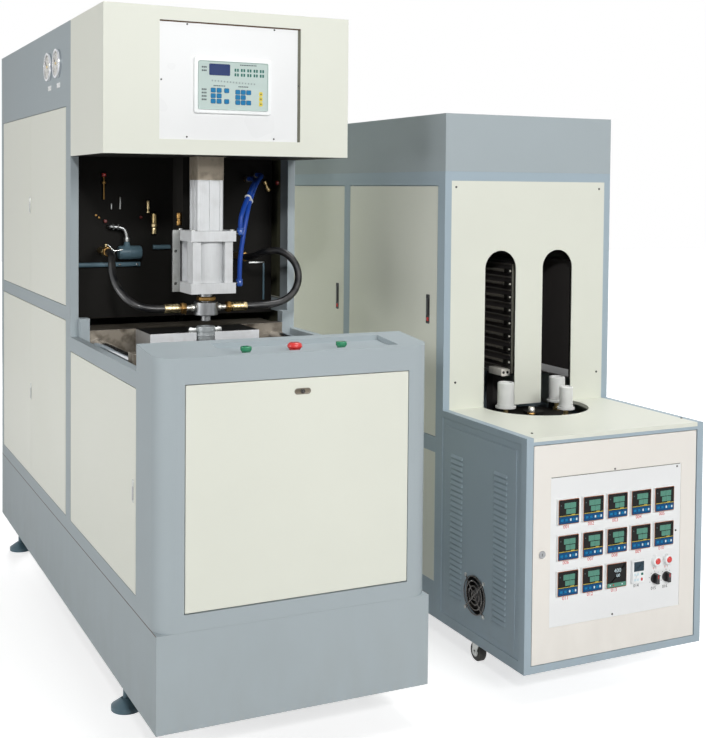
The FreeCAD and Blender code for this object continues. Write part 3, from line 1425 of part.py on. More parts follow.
def castor_wheel(x, y):
    """A castor wheel with a raised hub, bored for its axle."""
    axle_y = y + castor_trail
    half = castor_wheel_width / 2
    tread = rod((x - half, axle_y, castor_wheel_radius), castor_wheel_radius, castor_wheel_width, X_AXIS)
    rims = [edge for edge in tread.Edges if len(edge.Vertexes) == 1]
    tread = tread.makeChamfer(3.5, rims)
    hub = rod((x - half - 1.5, axle_y, castor_wheel_radius), castor_wheel_radius * 0.45,
              castor_wheel_width + 3, X_AXIS)
    bore = rod((x - half - 2, axle_y, castor_wheel_radius), castor_axle_radius + fit_gap,
               castor_wheel_width + 4, X_AXIS)
    return joined([tread, hub]).cut(bore)


# ---- the doors, their openings and their hinge axes ----
tall_y = (front_post_back, rear_post_front)
upper_z = (middle_rail_top, top_rail_bottom)
lower_z = (base_rail_top, middle_rail_bottom)
low_z = (base_rail_top, low_rail_bottom)
heater_upper_z = (heater_door_bottom, heater_door_top)
half_gap = door_gap / 2
door_openings = {
    "upper_front_door": (0, (tall_y[0], door_split), upper_z, "front", half_gap),
    "upper_rear_door": (0, (door_split, tall_y[1]), upper_z, "rear", half_gap),
    "lower_front_door": (0, (tall_y[0], door_split), lower_z, "front", half_gap),
    "lower_rear_door": (0, (door_split, tall_y[1]), lower_z, "rear", half_gap),
    "service_door": (0, (cover_depth, cabinet_front), low_z, "rear", door_gap),
    "heater_front_door": (heater_left, (tall_front_back, split_post[0]), heater_upper_z, "rear", door_gap),
    "heater_rear_door": (heater_left, (split_post[1], rear_heater_post), heater_upper_z, "rear", door_gap),
}

NODES = {}
HINGES = {}
blower_cutters = []
heater_cutters = []
for name, (face_x, opening_y, opening_z, hinge_at, split_side) in door_openings.items():
    NODES[name], HINGES[name] = left_door(face_x, opening_y, opening_z, hinge_at, split_side)
    pin_x, pin_y = HINGES[name]
    holes = hinge_holes(pin_x, pin_y, opening_z[0], opening_z[1])
    if face_x == 0:
        blower_cutters.extend(holes)
    else:
        heater_cutters.extend(holes)
HINGES["control_door"] = (control_door_right - hinge_gap - pin_inset, heater_front + pin_inset)
heater_cutters.extend(hinge_holes(HINGES["control_door"][0], HINGES["control_door"][1],
                                  control_door_bottom, control_door_top))
HINGES["front_access_panel"] = (pin_inset, access_bottom + hinge_gap + pin_inset)

NODES["levelling_feet"] = levelling_feet()
NODES["blower_frame"] = blower_frame(blower_cutters)
NODES["blower_outer_panels"] = blower_outer_panels()
NODES["side_covers"] = side_covers()
NODES["bay_back_panel"] = bay_back_panel()
NODES["front_cover"] = front_cover()
NODES["front_access_panel"] = front_access_panel()
NODES["start_button_left"] = push_button(start_left_x, start_cap_radius, start_cap_height, False)
NODES["stop_button"] = push_button(stop_x, stop_cap_radius, stop_cap_height, True)
NODES["start_button_right"] = push_button(start_right_x, start_cap_radius, start_cap_height, False)
NODES["head_housing"] = head_housing()
NODES["control_plate"] = control_plate()
NODES["keypad_unit"] = keypad_unit()
NODES["pressure_gauges"] = pressure_gauges()
NODES["tie_bars"] = tie_bars()
NODES["fixed_platens"] = fixed_platens()
NODES["moving_platen"] = moving_platen()
NODES["clamp_cylinder"] = clamp_cylinder()
NODES["rear_mould_half"] = mould_half(axis_y, rear_mould_depth, 1)
NODES["front_mould_half"] = mould_half(mould_open_y, front_mould_depth, -1)
NODES["neck_ring"] = neck_ring()
NODES["seal_cylinder"] = seal_cylinder()
NODES["cylinder_bracket"] = cylinder_bracket()
NODES["stretch_cylinder"] = stretch_cylinder()
NODES["stretch_rod"] = stretch_rod()
NODES["blow_manifold"] = blow_manifold()
NODES["brass_fittings"] = brass_fittings()
NODES["air_line_set"] = air_line_set()
NODES["heater_frame"] = heater_frame(heater_cutters)
NODES["heater_top_cap"] = heater_top_cap()
NODES["slot_panel"] = slot_panel()
NODES["heater_table"] = heater_table()
NODES["louvre_panels"] = louvre_panels()
NODES["fan_guard"] = fan_guard()
NODES["fan_rotor"] = fan_rotor()
NODES["wheel_drive"] = wheel_drive()
NODES["preform_wheel"] = preform_wheel()
NODES["preform_holders"] = preform_holders()
NODES["lamp_bank"] = lamp_bank()
NODES["heating_lamps"] = heating_lamps()
NODES["control_door"] = control_door()
NODES["control_unit"] = control_unit()
NODES["left_knob"] = knob(knob_x[0])
NODES["right_knob"] = knob(knob_x[1])
NODES["castor_mounts"] = castor_mounts()
castors = castor_places()
corner_names = ("front_left", "front_right", "rear_left", "rear_right")
for i in (0, 1):
    NODES[corner_names[i] + "_fork"] = castor_fork(castors[i][0], castors[i][1], True)
for i in range(4):
    NODES[corner_names[i] + "_wheel"] = castor_wheel(castors[i][0], castors[i][1])

hoses = {
    "blow_hoses": ([left_hose_route, right_hose_route], hose_radius),
    "air_tubes": ([long_tube_route, short_tube_route], tube_radius),
}
HOSE_LENGTHS = {}
for name, (routes, radius) in hoses.items():
    tubes = []
    for route in routes:
        tube, bend_radii, length = tube_along(route, radius)
        section = math.pi * radius * radius
        print(name, "length", round(length), "bends", [round(r) for r in bend_radii],
              "volume over section and length", round(tube.Volume / (section * length), 4))
        HOSE_LENGTHS.setdefault(name, []).append(length)
        tubes.append(tube)
    NODES[name] = group(tubes)

# The origin is the middle of the footprint of everything but the hoses, on the floor.
footprint = FreeCAD.BoundBox()
for name, shape in NODES.items():
    if name not in hoses:
        footprint.add(shape.BoundBox)
ORIGIN = V((footprint.XMin + footprint.XMax) / 2, (footprint.YMin + footprint.YMax) / 2, 0)
for name, shape in NODES.items():
    shape.translate(-ORIGIN)
    shape.exportStep("parts/" + name + ".step")
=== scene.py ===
import bpy
import math
from mathutils import Matrix, Vector


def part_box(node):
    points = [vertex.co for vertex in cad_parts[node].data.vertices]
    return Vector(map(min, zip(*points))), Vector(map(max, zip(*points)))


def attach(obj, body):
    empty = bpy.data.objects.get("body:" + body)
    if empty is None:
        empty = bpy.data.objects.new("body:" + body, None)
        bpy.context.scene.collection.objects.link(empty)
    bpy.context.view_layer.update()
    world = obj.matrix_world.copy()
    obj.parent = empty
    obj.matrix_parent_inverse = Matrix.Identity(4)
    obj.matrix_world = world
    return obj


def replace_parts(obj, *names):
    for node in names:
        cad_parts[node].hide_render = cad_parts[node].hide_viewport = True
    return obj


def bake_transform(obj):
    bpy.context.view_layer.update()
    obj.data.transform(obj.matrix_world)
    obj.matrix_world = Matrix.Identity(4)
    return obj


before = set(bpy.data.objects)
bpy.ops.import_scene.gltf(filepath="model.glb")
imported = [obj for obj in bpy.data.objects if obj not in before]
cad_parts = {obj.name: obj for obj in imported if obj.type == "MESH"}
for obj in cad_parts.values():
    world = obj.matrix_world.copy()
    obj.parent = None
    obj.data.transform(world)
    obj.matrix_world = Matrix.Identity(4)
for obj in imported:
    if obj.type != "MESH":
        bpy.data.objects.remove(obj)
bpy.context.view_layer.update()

# Two-cabinet blow moulding machine. Sizes are written in millimetres from the blowing cabinet's front
# left bottom corner on the floor, +Y towards the back, as the workshop drawing has them, and place()
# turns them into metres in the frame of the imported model.
MM = 0.001
CORNER_X = -870.0
CORNER_Y = -1101.1
X, Y, Z = 0, 1, 2
LEFT, RIGHT = -1, 1


def place(x, y, z):
    """A point of the drawing, in metres in the frame."""
    return Vector(((x + CORNER_X) * MM, (y + CORNER_Y) * MM, z * MM))


def low_of(node, axis):
    """The node's lowest value along axis, in drawing millimetres."""
    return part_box(node)[0][axis] / MM - (CORNER_X, CORNER_Y, 0)[axis]


def high_of(node, axis):
    """The node's highest value along axis, in drawing millimetres."""
    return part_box(node)[1][axis] / MM - (CORNER_X, CORNER_Y, 0)[axis]


def srgb(red, green, blue):
    """A colour as it reads on screen, from 0 to 255, as linear values."""
    shares = [part / 255 for part in (red, green, blue)]
    return (*(s / 12.92 if s <= 0.04045 else ((s + 0.055) / 1.055) ** 2.4 for s in shares), 1.0)


def linked(thing):
    """The new object, put into the scene."""
    bpy.context.scene.collection.objects.link(thing)
    return thing


class Graph:
    """A node tree, with short ways to add nodes to it and to join them."""

    def __init__(self, tree):
        self.tree = tree

    def put(self, socket, value):
        """Feed an input with another node's output or with a plain value."""
        if isinstance(value, bpy.types.NodeSocket):
            self.tree.links.new(value, socket)
        else:
            socket.default_value = value

    def add(self, kind, inputs=None, **settings):
        """A new node; its inputs are named or numbered."""
        node = self.tree.nodes.new("ShaderNode" + kind)
        for label, setting in settings.items():
            setattr(node, label, setting)
        for label, value in (inputs or {}).items():
            self.put(node.inputs[label], value)
        return node

    def calc(self, operation, first, second):
        return self.add("Math", {0: first, 1: second}, operation=operation).outputs[0]

    def ranged(self, value, low, high, to_low, to_high):
        """value carried from one range to another, held inside it."""
        return self.add("MapRange", {"Value": value, "From Min": low, "From Max": high, "To Min": to_low,
                                     "To Max": to_high}).outputs["Result"]

    def noise(self, stretch, scale, detail):
        """Noise on object coordinates stretched by a vector, as a value."""
        spot = self.add("Mapping", {"Vector": self.spot("Object"), "Scale": stretch})
        return self.add("TexNoise", {"Vector": spot.outputs[0], "Scale": scale, "Detail": detail}).outputs["Fac"]

    def spot(self, kind):
        """The place or direction of the shaded point."""
        return self.add("TexCoord").outputs[kind]

    def mixed(self, mode, share, first, second):
        """Two colours, blended by a Mix node whose colour inputs are numbers 6 and 7."""
        return self.add("Mix", {0: share, 6: first, 7: second}, data_type="RGBA", blend_type=mode).outputs[2]

    def shaded(self, colour, value):
        """A colour darkened by a value from 0 to 1."""
        grey = self.add("CombineColor", {0: value, 1: value, 2: value}).outputs[0]
        return self.mixed("MULTIPLY", 1.0, colour, grey)


# ---- camera: the one of the photograph ----
CAMERA_PLACE = (-1.713, -3.897, 1.483)
CAMERA_YAW = 24.93           # degrees from +Y towards +X
CAMERA_DOWN = 1.93
CAMERA_ROLL = 0.461
CAMERA_LENS = 57.33
CAMERA_SHIFT = (0.037, -0.189)


def aim_camera():
    yaw, down, roll = (math.radians(angle) for angle in (CAMERA_YAW, CAMERA_DOWN, CAMERA_ROLL))
    ahead = Vector((math.sin(yaw) * math.cos(down), math.cos(yaw) * math.cos(down), -math.sin(down)))
    level = Vector((math.cos(yaw), -math.sin(yaw), 0))
    right = level * math.cos(roll) + level.cross(ahead) * math.sin(roll)
    turn = Matrix((right, right.cross(ahead), -ahead)).transposed().to_4x4()
    camera = linked(bpy.data.objects.new("camera", bpy.data.cameras.new("camera")))
    camera.data.lens = CAMERA_LENS
    camera.data.sensor_width = 36
    camera.data.shift_x, camera.data.shift_y = CAMERA_SHIFT
    camera.data.clip_end = 100
    camera.matrix_world = Matrix.Translation(CAMERA_PLACE) @ turn
    bpy.context.scene.camera = camera


# ---- light and surroundings ----
WHITE = (1, 1, 1, 1)
WORLD_COLOUR = (0.97, 0.985, 1.0, 1.0)
WORLD_LIGHT = 0.03
FLOOR_GREY = (0.6, 0.6, 0.6, 1.0)
FLOOR_GLOW = (1.4, 3.2, 0.68, 1.0)      # from and to these distances in metres, from and to these strengths
LAMPS = (                               # name, place, aim, size and power
    ("key_light", (-2.3, -6.2, 3.9), (-0.1, -0.15, 1.2), (0.5, 0.5), 134.0),
    ("side_light", (-5.0, -0.5, 1.9), (-0.8, -0.2, 1.0), (2.2, 1.6), 80.0),
    ("front_light", (1.0, -6.2, 3.1), (0.3, -0.6, 0.9), (2.4, 1.6), 158.0),
    ("top_light", (0.9, -0.7, 4.8), (0.7, -0.6, 0.9), (1.8, 1.6), 84.0),
    ("back_light", (1.7, 6.2, 1.1), (0.0, 0.9, 1.0), (2.2, 1.0), 190.0),
    ("right_light", (5.6, 1.6, 1.5), (0.8, 0.0, 0.9), (2.2, 1.6), 120.0),
)


def light_world():
    """White for the camera, in mirrors and in glass, and a faint cool light on the object."""
    world = bpy.data.worlds.new("studio")
    bpy.context.scene.world = world
    world.use_nodes = True
    graph = Graph(world.node_tree)
    graph.tree.nodes.clear()
    ray = graph.add("LightPath").outputs
    seen = graph.calc("MAXIMUM", ray["Is Camera Ray"], ray["Is Transmission Ray"])
    seen = graph.calc("MAXIMUM", seen, ray["Is Glossy Ray"])
    soft = graph.add("Background", {"Color": WORLD_COLOUR, "Strength": WORLD_LIGHT})
    white = graph.add("Background", {"Color": WHITE, "Strength": 1.0})
    mix = graph.add("MixShader", {0: seen, 1: soft.outputs[0], 2: white.outputs[0]})
    graph.add("OutputWorld", {"Surface": mix.outputs[0]})


def hang_lamps():
    """Soft lamps round the machine."""
    for name, where, towards, size, power in LAMPS:
        data = bpy.data.lights.new(name, "AREA")
        data.shape = "RECTANGLE"
        data.size, data.size_y = size
        data.energy = power
        lamp = linked(bpy.data.objects.new(name, data))
        lamp.location = where
        lamp.rotation_euler = (Vector(towards) - lamp.location).to_track_quat("-Z", "Y").to_euler()


def lay_floor():
    """A pale floor that takes shadows and glows, more so far away, where the camera sees it."""
    bpy.ops.mesh.primitive_plane_add(size=40, location=(0, 0, 0))
    floor = bpy.context.object
    floor.name = "floor"
    material = bpy.data.materials.new("floor_white")
    material.use_nodes = True
    graph = Graph(material.node_tree)
    shader = graph.tree.nodes["Principled BSDF"]
    graph.put(shader.inputs["Base Color"], FLOOR_GREY)
    graph.put(shader.inputs["Roughness"], 0.6)
    ray = graph.add("LightPath").outputs
    seen = graph.calc("MAXIMUM", ray["Is Camera Ray"], ray["Is Glossy Ray"])
    distance = graph.add("VectorMath", {0: graph.spot("Object")}, operation="LENGTH").outputs["Value"]
    glow = graph.calc("MULTIPLY", seen, graph.ranged(distance, *FLOOR_GLOW))
    shade = graph.add("Emission", {"Color": WHITE, "Strength": glow})
    both = graph.add("AddShader", {0: shader.outputs[0], 1: shade.outputs[0]})
    graph.put(graph.tree.nodes["Material Output"].inputs["Surface"], both.outputs[0])
    floor.data.materials.append(material)


bpy.context.scene.view_settings.view_transform = "Standard"
aim_camera()
light_world()
hang_lamps()
lay_floor()


# ---- effects: groups of nodes that the finishes share ----
SOCKET_KINDS = {"Colour": "NodeSocketColor", "Rubbed": "NodeSocketColor", "Stain": "NodeSocketColor",
                "Normal": "NodeSocketVector"}
DUST_COLOUR = srgb(142, 134, 120)
PALE_DUST = srgb(150, 146, 138)
# near white, for the painted highlight along metal edges
EDGE_HIGHLIGHT = (0.95, 0.95, 0.95, 1)
EVEN = (1, 1, 1)


class Effect(Graph):
    """A group of nodes that turns named inputs into named outputs."""

    def __init__(self, name, *inputs):
        super().__init__(bpy.data.node_groups.new(name, "ShaderNodeTree"))
        for label in inputs:
            self.name_socket(label, "INPUT")
        self.given = self.tree.nodes.new("NodeGroupInput").outputs

    def name_socket(self, label, way):
        kind = SOCKET_KINDS.get(label, "NodeSocketFloat")
        self.tree.interface.new_socket(label, in_out=way, socket_type=kind)

    def give(self, **outputs):
        """The finished group, with these outputs."""
        for label in outputs:
            self.name_socket(label, "OUTPUT")
        out = self.tree.nodes.new("NodeGroupOutput")
        for label, value in outputs.items():
            self.put(out.inputs[label], value)
        return self.tree


def rounded_edge_group():
    """Where a piece has an edge, and a normal that turns softly over it."""
    group = Effect("rounded_edge", "Width")
    soft = group.add("Bevel", {"Radius": group.given["Width"]}, samples=4).outputs["Normal"]
    flat = group.add("NewGeometry").outputs["Normal"]
    turn = group.add("VectorMath", {0: soft, 1: flat}, operation="DOT_PRODUCT").outputs["Value"]
    return group.give(Edge=group.ranged(turn, 0.98, 0.80, 0.0, 1.0), Normal=soft)


def powder_coat_group():
    """Sprayed and baked paint: orange peel, faint clouds, dust low down and rubbed edges."""
    group = Effect("powder_coat", "Colour", "Rubbed", "Edge", "Roughness", "Dust")
    given = group.given
    clouds = group.noise(EVEN, 2.6, 3)
    paint = group.shaded(given["Colour"], group.ranged(clouds, 0.3, 0.7, 0.965, 1.0))
    scuffs = group.ranged(group.noise(EVEN, 34.0, 4), 0.45, 0.75, 0.12, 0.75)
    worn = group.mixed("MIX", group.calc("MULTIPLY", given["Edge"], scuffs), paint, given["Rubbed"])
    height = group.add("SeparateXYZ", {0: group.spot("Object")}).outputs["Z"]
    low = group.ranged(height, 0.0, 0.42, 0.55, 0.0)
    soil = group.ranged(group.noise((1, 1, 0.35), 18.0, 5), 0.35, 0.8, 0.0, 1.0)
    dust = group.calc("MULTIPLY", group.calc("MULTIPLY", low, soil), given["Dust"])
    matt = group.ranged(clouds, 0.3, 0.7, -0.03, 0.05)
    rough = group.calc("ADD", given["Roughness"], matt)
    rough = group.calc("ADD", rough, group.calc("MULTIPLY", dust, 0.4))
    return group.give(Colour=group.mixed("MIX", dust, worn, DUST_COLOUR), Roughness=rough,
                      Height=group.noise(EVEN, 520.0, 1.5))


def drawn_metal_group(name, stretch):
    """Machined or drawn metal: fine lines along one direction, stains, and edges brightened towards white as a
    painted highlight.
    """
    group = Effect(name, "Colour", "Stain", "Edge", "Roughness", "Stains")
    given = group.given
    lines = group.noise(stretch, 1.0, 3)
    spots = group.ranged(group.noise(EVEN, 26.0, 5), 0.48, 0.78, 0.0, 1.0)
    stained = group.calc("MULTIPLY", given["Stains"], spots)
    colour = group.mixed("MIX", stained, given["Colour"], given["Stain"])
    colour = group.shaded(colour, group.ranged(lines, 0.3, 0.7, 0.90, 1.0))
    # painted highlight: the edges are brightened towards white
    colour = group.mixed("MIX", group.calc("MULTIPLY", given["Edge"], 0.5), colour, EDGE_HIGHLIGHT)
    rough = group.calc("ADD", given["Roughness"], group.ranged(lines, 0.3, 0.7, -0.05, 0.08))
    rough = group.calc("ADD", rough, group.calc("MULTIPLY", stained, 0.3))
    return group.give(Colour=colour, Roughness=rough, Height=lines)


def moulded_group():
    """Moulded plastic or rubber: a fine skin, slight clouds and a little dust."""
    group = Effect("moulded", "Colour", "Grain", "Roughness", "Dust")
    given = group.given
    skin = group.add("TexNoise", {"Vector": group.spot("Object"), "Scale": given["Grain"]}).outputs["Fac"]
    clouds = group.noise(EVEN, 40.0, 4)
    dust = group.calc("MULTIPLY", given["Dust"], group.ranged(clouds, 0.4, 0.8, 0.0, 1.0))
    rough = group.calc("ADD", given["Roughness"], group.ranged(clouds, 0.3, 0.7, -0.04, 0.08))
    return group.give(Colour=group.mixed("MIX", dust, given["Colour"], PALE_DUST), Roughness=rough,
                      Height=skin)


ROUNDED_EDGE = rounded_edge_group()
POWDER_COAT = powder_coat_group()
DRAWN_UP = drawn_metal_group("drawn_upwards", (900, 900, 14))
DRAWN_ACROSS = drawn_metal_group("drawn_across", (14, 900, 900))
MOULDED = moulded_group()


# ---- finishes ----
class Finish(Graph):
    """A material on its way: effects that feed its shader."""

    def __init__(self, name):
        self.material = bpy.data.materials.new(name)
        self.material.use_nodes = True
        super().__init__(self.material.node_tree)
        self.shader = self.tree.nodes["Principled BSDF"]

    def effect(self, group, **values):
        """The outputs of an effect whose inputs have these values."""
        return self.add("Group", values, node_tree=group).outputs

    def feed(self, **values):
        for label, value in values.items():
            self.put(self.shader.inputs[label.replace("_", " ")], value)

    def bump(self, height, normal, strength, distance=0.0002):
        given = {"Strength": strength, "Distance": distance, "Height": height}
        if normal is not None:
            given["Normal"] = normal
        self.feed(Normal=self.add("Bump", given).outputs["Normal"])


def coat(name, colour, rubbed, roughness=0.38, dust=0.3, edge=0.0016, shine=0.28):
    """Powder coated sheet metal."""
    finish = Finish(name)
    rounded = finish.effect(ROUNDED_EDGE, Width=edge)
    paint = finish.effect(POWDER_COAT, Colour=srgb(*colour), Rubbed=srgb(*rubbed), Edge=rounded["Edge"],
                          Roughness=roughness, Dust=dust)
    finish.feed(Base_Color=paint["Colour"], Roughness=paint["Roughness"], Specular_IOR_Level=shine)
    finish.bump(paint["Height"], rounded["Normal"], 0.16, 0.0003)
    return finish.material


def metal(name, colour, stain, roughness, group=DRAWN_UP, stains=0.3, edge=0.0008, strength=0.1, metallic=1.0):
    """Bare or plated metal; a lower metallic value suits anodised aluminium, which takes a shadow."""
    finish = Finish(name)
    rounded = finish.effect(ROUNDED_EDGE, Width=edge)
    drawn = finish.effect(group, Colour=srgb(*colour), Stain=srgb(*stain), Edge=rounded["Edge"],
                          Roughness=roughness, Stains=stains)
    finish.feed(Base_Color=drawn["Colour"], Roughness=drawn["Roughness"], Metallic=metallic)
    finish.bump(drawn["Height"], rounded["Normal"], strength)
    return finish.material


def plastic(name, colour, roughness=0.35, grain=900.0, dust=0.05, strength=0.08, coat_weight=0.0, shine=0.5):
    """Moulded plastic, rubber or a printed film."""
    finish = Finish(name)
    skin = finish.effect(MOULDED, Colour=srgb(*colour), Grain=grain, Roughness=roughness, Dust=dust)
    finish.feed(Base_Color=skin["Colour"], Roughness=skin["Roughness"], Coat_Weight=coat_weight,
                Specular_IOR_Level=shine)
    finish.bump(skin["Height"], None, strength)
    return finish.material


def quartz_glass():
    """A clear lamp tube with a faint milky coat."""
    finish = Finish("quartz")
    skin = finish.effect(MOULDED, Colour=srgb(168, 162, 152), Grain=120.0, Roughness=0.14, Dust=0.1)
    finish.feed(Base_Color=skin["Colour"], Roughness=skin["Roughness"], Transmission_Weight=0.6, IOR=1.46)
    return finish.material


def dark_topped(name, bare, stain, top_colour, roughness, stains):
    """Worn metal whose upward faces take a second, darker colour."""
    finish = Finish(name)
    rounded = finish.effect(ROUNDED_EDGE, Width=0.001)
    drawn = finish.effect(DRAWN_ACROSS, Colour=srgb(*bare), Stain=srgb(*stain), Edge=rounded["Edge"],
                          Roughness=roughness, Stains=stains)
    height = finish.add("SeparateXYZ", {0: finish.spot("Normal")}).outputs["Z"]
    top = finish.ranged(height, 0.6, 0.8, 0.0, 1.0)
    finish.feed(Base_Color=finish.mixed("MIX", top, drawn["Colour"], srgb(*top_colour)),
                Metallic=finish.ranged(top, 0.0, 1.0, 1.0, 0.15), Roughness=drawn["Roughness"])
    finish.bump(drawn["Height"], rounded["Normal"], 0.1)
    return finish.material


grey_coat = coat("grey_coat", (171, 181, 185), (186, 193, 198), 0.5, 0.35, shine=0.06)
cream_coat = coat("cream_coat", (226, 228, 216), (238, 238, 232), 0.40, 0.22)
white_coat = coat("white_coat", (236, 237, 237), (240, 242, 242), 0.3, 0.05, 0.0008)
black_coat = coat("black_coat", (30, 29, 27), (56, 54, 50), 0.6, 0.3, shine=0.08)
smoked_coat = coat("smoked_coat", (76, 73, 72), (104, 98, 92), 0.4, 0.3, shine=0.1)
# Dark olive for the side covers' inner faces: painted shade inside the bay.
inner_shade_olive = coat("inner_shade_olive", (92, 92, 74), (112, 110, 92), 0.6, 0.4)
warm_cream_coat = coat("warm_cream_coat", (236, 232, 225), (238, 236, 230), 0.40, 0.22)
heater_grey_coat = coat("heater_grey_coat", (168, 184, 194), (184, 196, 204), 0.36, 0.35, shine=0.06)
blue_grey_coat = coat("blue_grey_coat", (92, 118, 130), (140, 160, 170), 0.35, 0.2)

machined_steel = metal("machined_steel", (150, 152, 154), (120, 118, 112), 0.32, DRAWN_ACROSS)
folded_steel = metal("folded_steel", (148, 150, 148), (122, 120, 112), 0.5, stains=0.5)
# Brushed steel whose dark brownish tone is partly painted shadow: the head's shadow on the stretch cylinder's top.
shaded_sleeve_steel = metal("shaded_sleeve_steel", (150, 140, 124), (98, 90, 78), 0.5, stains=0.8, metallic=0.4)
ring_steel = metal("ring_steel", (186, 192, 194), (120, 122, 120), 0.3, DRAWN_ACROSS, metallic=0.45)
rib_steel = metal("rib_steel", (88, 84, 78), (54, 50, 46), 0.5, DRAWN_ACROSS, 0.5, metallic=0.3)
trim_steel = metal("trim_steel", (150, 148, 134), (96, 92, 78), 0.5, stains=0.5, metallic=0.3)
screw_black = metal("screw_black", (52, 50, 48), (30, 28, 26), 0.4, stains=0.2)
dark_wire = metal("dark_wire", (92, 88, 84), (50, 46, 42), 0.34, stains=0.4)
zinc_plate = metal("zinc_plate", (190, 192, 190), (130, 128, 120), 0.36, stains=0.4)
port_zinc = metal("port_zinc", (226, 224, 216), (170, 160, 140), 0.4, DRAWN_ACROSS)
chrome_plate = metal("chrome_plate", (214, 216, 220), (150, 148, 144), 0.12, DRAWN_UP, 0.15, 0.0006, 0.03)
silver_hose = metal("silver_hose", (176, 178, 178), (96, 92, 86), 0.34, DRAWN_UP, 0.5, 0.0006, 0.3)
satin_aluminium = metal("satin_aluminium", (216, 218, 219), (172, 170, 166), 0.62, stains=0.2, metallic=0.35)
cast_aluminium = metal("cast_aluminium", (214, 216, 218), (160, 158, 152), 0.5, DRAWN_ACROSS)
turned_brass = metal("turned_brass", (214, 190, 136), (140, 104, 60), 0.28, DRAWN_ACROSS, 0.45)
pale_brass = metal("pale_brass", (226, 206, 160), (150, 116, 66), 0.24, DRAWN_ACROSS, 0.35)
brown_brass = metal("brown_brass", (158, 124, 74), (84, 58, 32), 0.38, DRAWN_ACROSS, 0.5)
lock_bronze = metal("lock_bronze", (112, 104, 90), (58, 52, 42), 0.45, DRAWN_ACROSS, 0.7, metallic=0.5)
mould_steel = dark_topped("mould_steel", (222, 224, 226), (150, 146, 138), (28, 27, 26), 0.4, 0.3)
worn_plate = dark_topped("worn_plate", (130, 123, 112), (60, 52, 42), (92, 86, 76), 0.5, 0.9)

quartz = quartz_glass()
ceramic = plastic("ceramic", (240, 236, 226), 0.28, 500, 0.08, 0.05, 0.2)
black_rubber = plastic("black_rubber", (20, 21, 24), 0.34, 700, 0.12, 0.12, 0.2)
tread_rubber = plastic("tread_rubber", (38, 37, 36), 0.6, 400, 0.35, 0.3)
# Dark strips: both finishes paint shade along the window edges of the head and of the heater's plate, and the
# brown one also colours the dark seam at the plinth.
shade_olive = plastic("shade_olive", (112, 112, 100), 0.6, 500, 0.1, 0.1, shine=0.15)
seam_and_shade_brown = plastic("seam_and_shade_brown", (92, 70, 54), 0.6, 500, 0.1, 0.1, shine=0.15)
black_plastic = plastic("black_plastic", (26, 27, 30), 0.36, 1200, 0.06)
white_plastic = plastic("white_plastic", (238, 240, 240), 0.3, 1200)
holder_plastic = plastic("holder_plastic", (218, 219, 217), 0.35, 1200, 0.12)
blue_tube_plastic = plastic("blue_tube_plastic", (30, 74, 168), 0.3, 300, 0.02, 0.03, shine=0.25)
fitting_blue = plastic("fitting_blue", (44, 90, 178), 0.25, 500, 0.02, 0.03, 0.4)
green_cap_plastic = plastic("green_cap_plastic", (18, 132, 88), 0.25, 800, 0.03, 0.03, 0.3)
red_cap_plastic = plastic("red_cap_plastic", (212, 34, 30), 0.25, 800, 0.03, 0.03, 0.3)
dim_red = plastic("dim_red", (120, 34, 28), 0.3, 600, 0.1)
dial_white = plastic("dial_white", (212, 210, 204), 0.3, 800, 0.04)
dial_black = plastic("dial_black", (24, 24, 24), 0.4, 800, 0.02, shine=0.12)
dial_red = plastic("dial_red", (196, 36, 30), 0.3, 800, 0.02)

# ---- finishes of printed films and screens ----
key_grey_film = plastic("key_grey_film", (192, 208, 203), 0.4, 1500, 0.03, shine=0.2)
display_blue = plastic("display_blue", (34, 54, 104), 0.35, 300, 0.02, 0.02, shine=0.12)
key_blue = plastic("key_blue", (18, 118, 168), 0.4, 900, 0.02, 0.05, shine=0.15)
key_yellow = plastic("key_yellow", (226, 206, 70), 0.4, 900, 0.02, 0.05, shine=0.15)
key_pale = plastic("key_pale", (206, 226, 232), 0.3, 900, 0.02)
key_outline = plastic("key_outline", (30, 62, 84), 0.5, 900, 0.02, shine=0.1)
legend_grey = plastic("legend_grey", (92, 104, 106), 0.5, 900, 0.02, shine=0.1)
legend_pale = plastic("legend_pale", (158, 172, 170), 0.5, 900, 0.02, shine=0.1)
lamp_green = plastic("lamp_green", (44, 110, 100), 0.4, 600, 0.02, 0.03, shine=0.15)
screen_teal = plastic("screen_teal", (92, 146, 128), 0.4, 300, 0.02, 0.02, shine=0.12)
strip_dark = plastic("strip_dark", (48, 66, 78), 0.4, 300, 0.02, 0.02, shine=0.12)
strip_blue = plastic("strip_blue", (14, 76, 122), 0.4, 600, 0.02, 0.03, shine=0.12)
rim_orange = plastic("rim_orange", (168, 98, 58), 0.4, 800, 0.03, shine=0.15)
line_yellow = plastic("line_yellow", (196, 176, 66), 0.35, 800, 0.02)
label_red = plastic("label_red", (200, 52, 50), 0.5, 900, 0.02, shine=0.1)

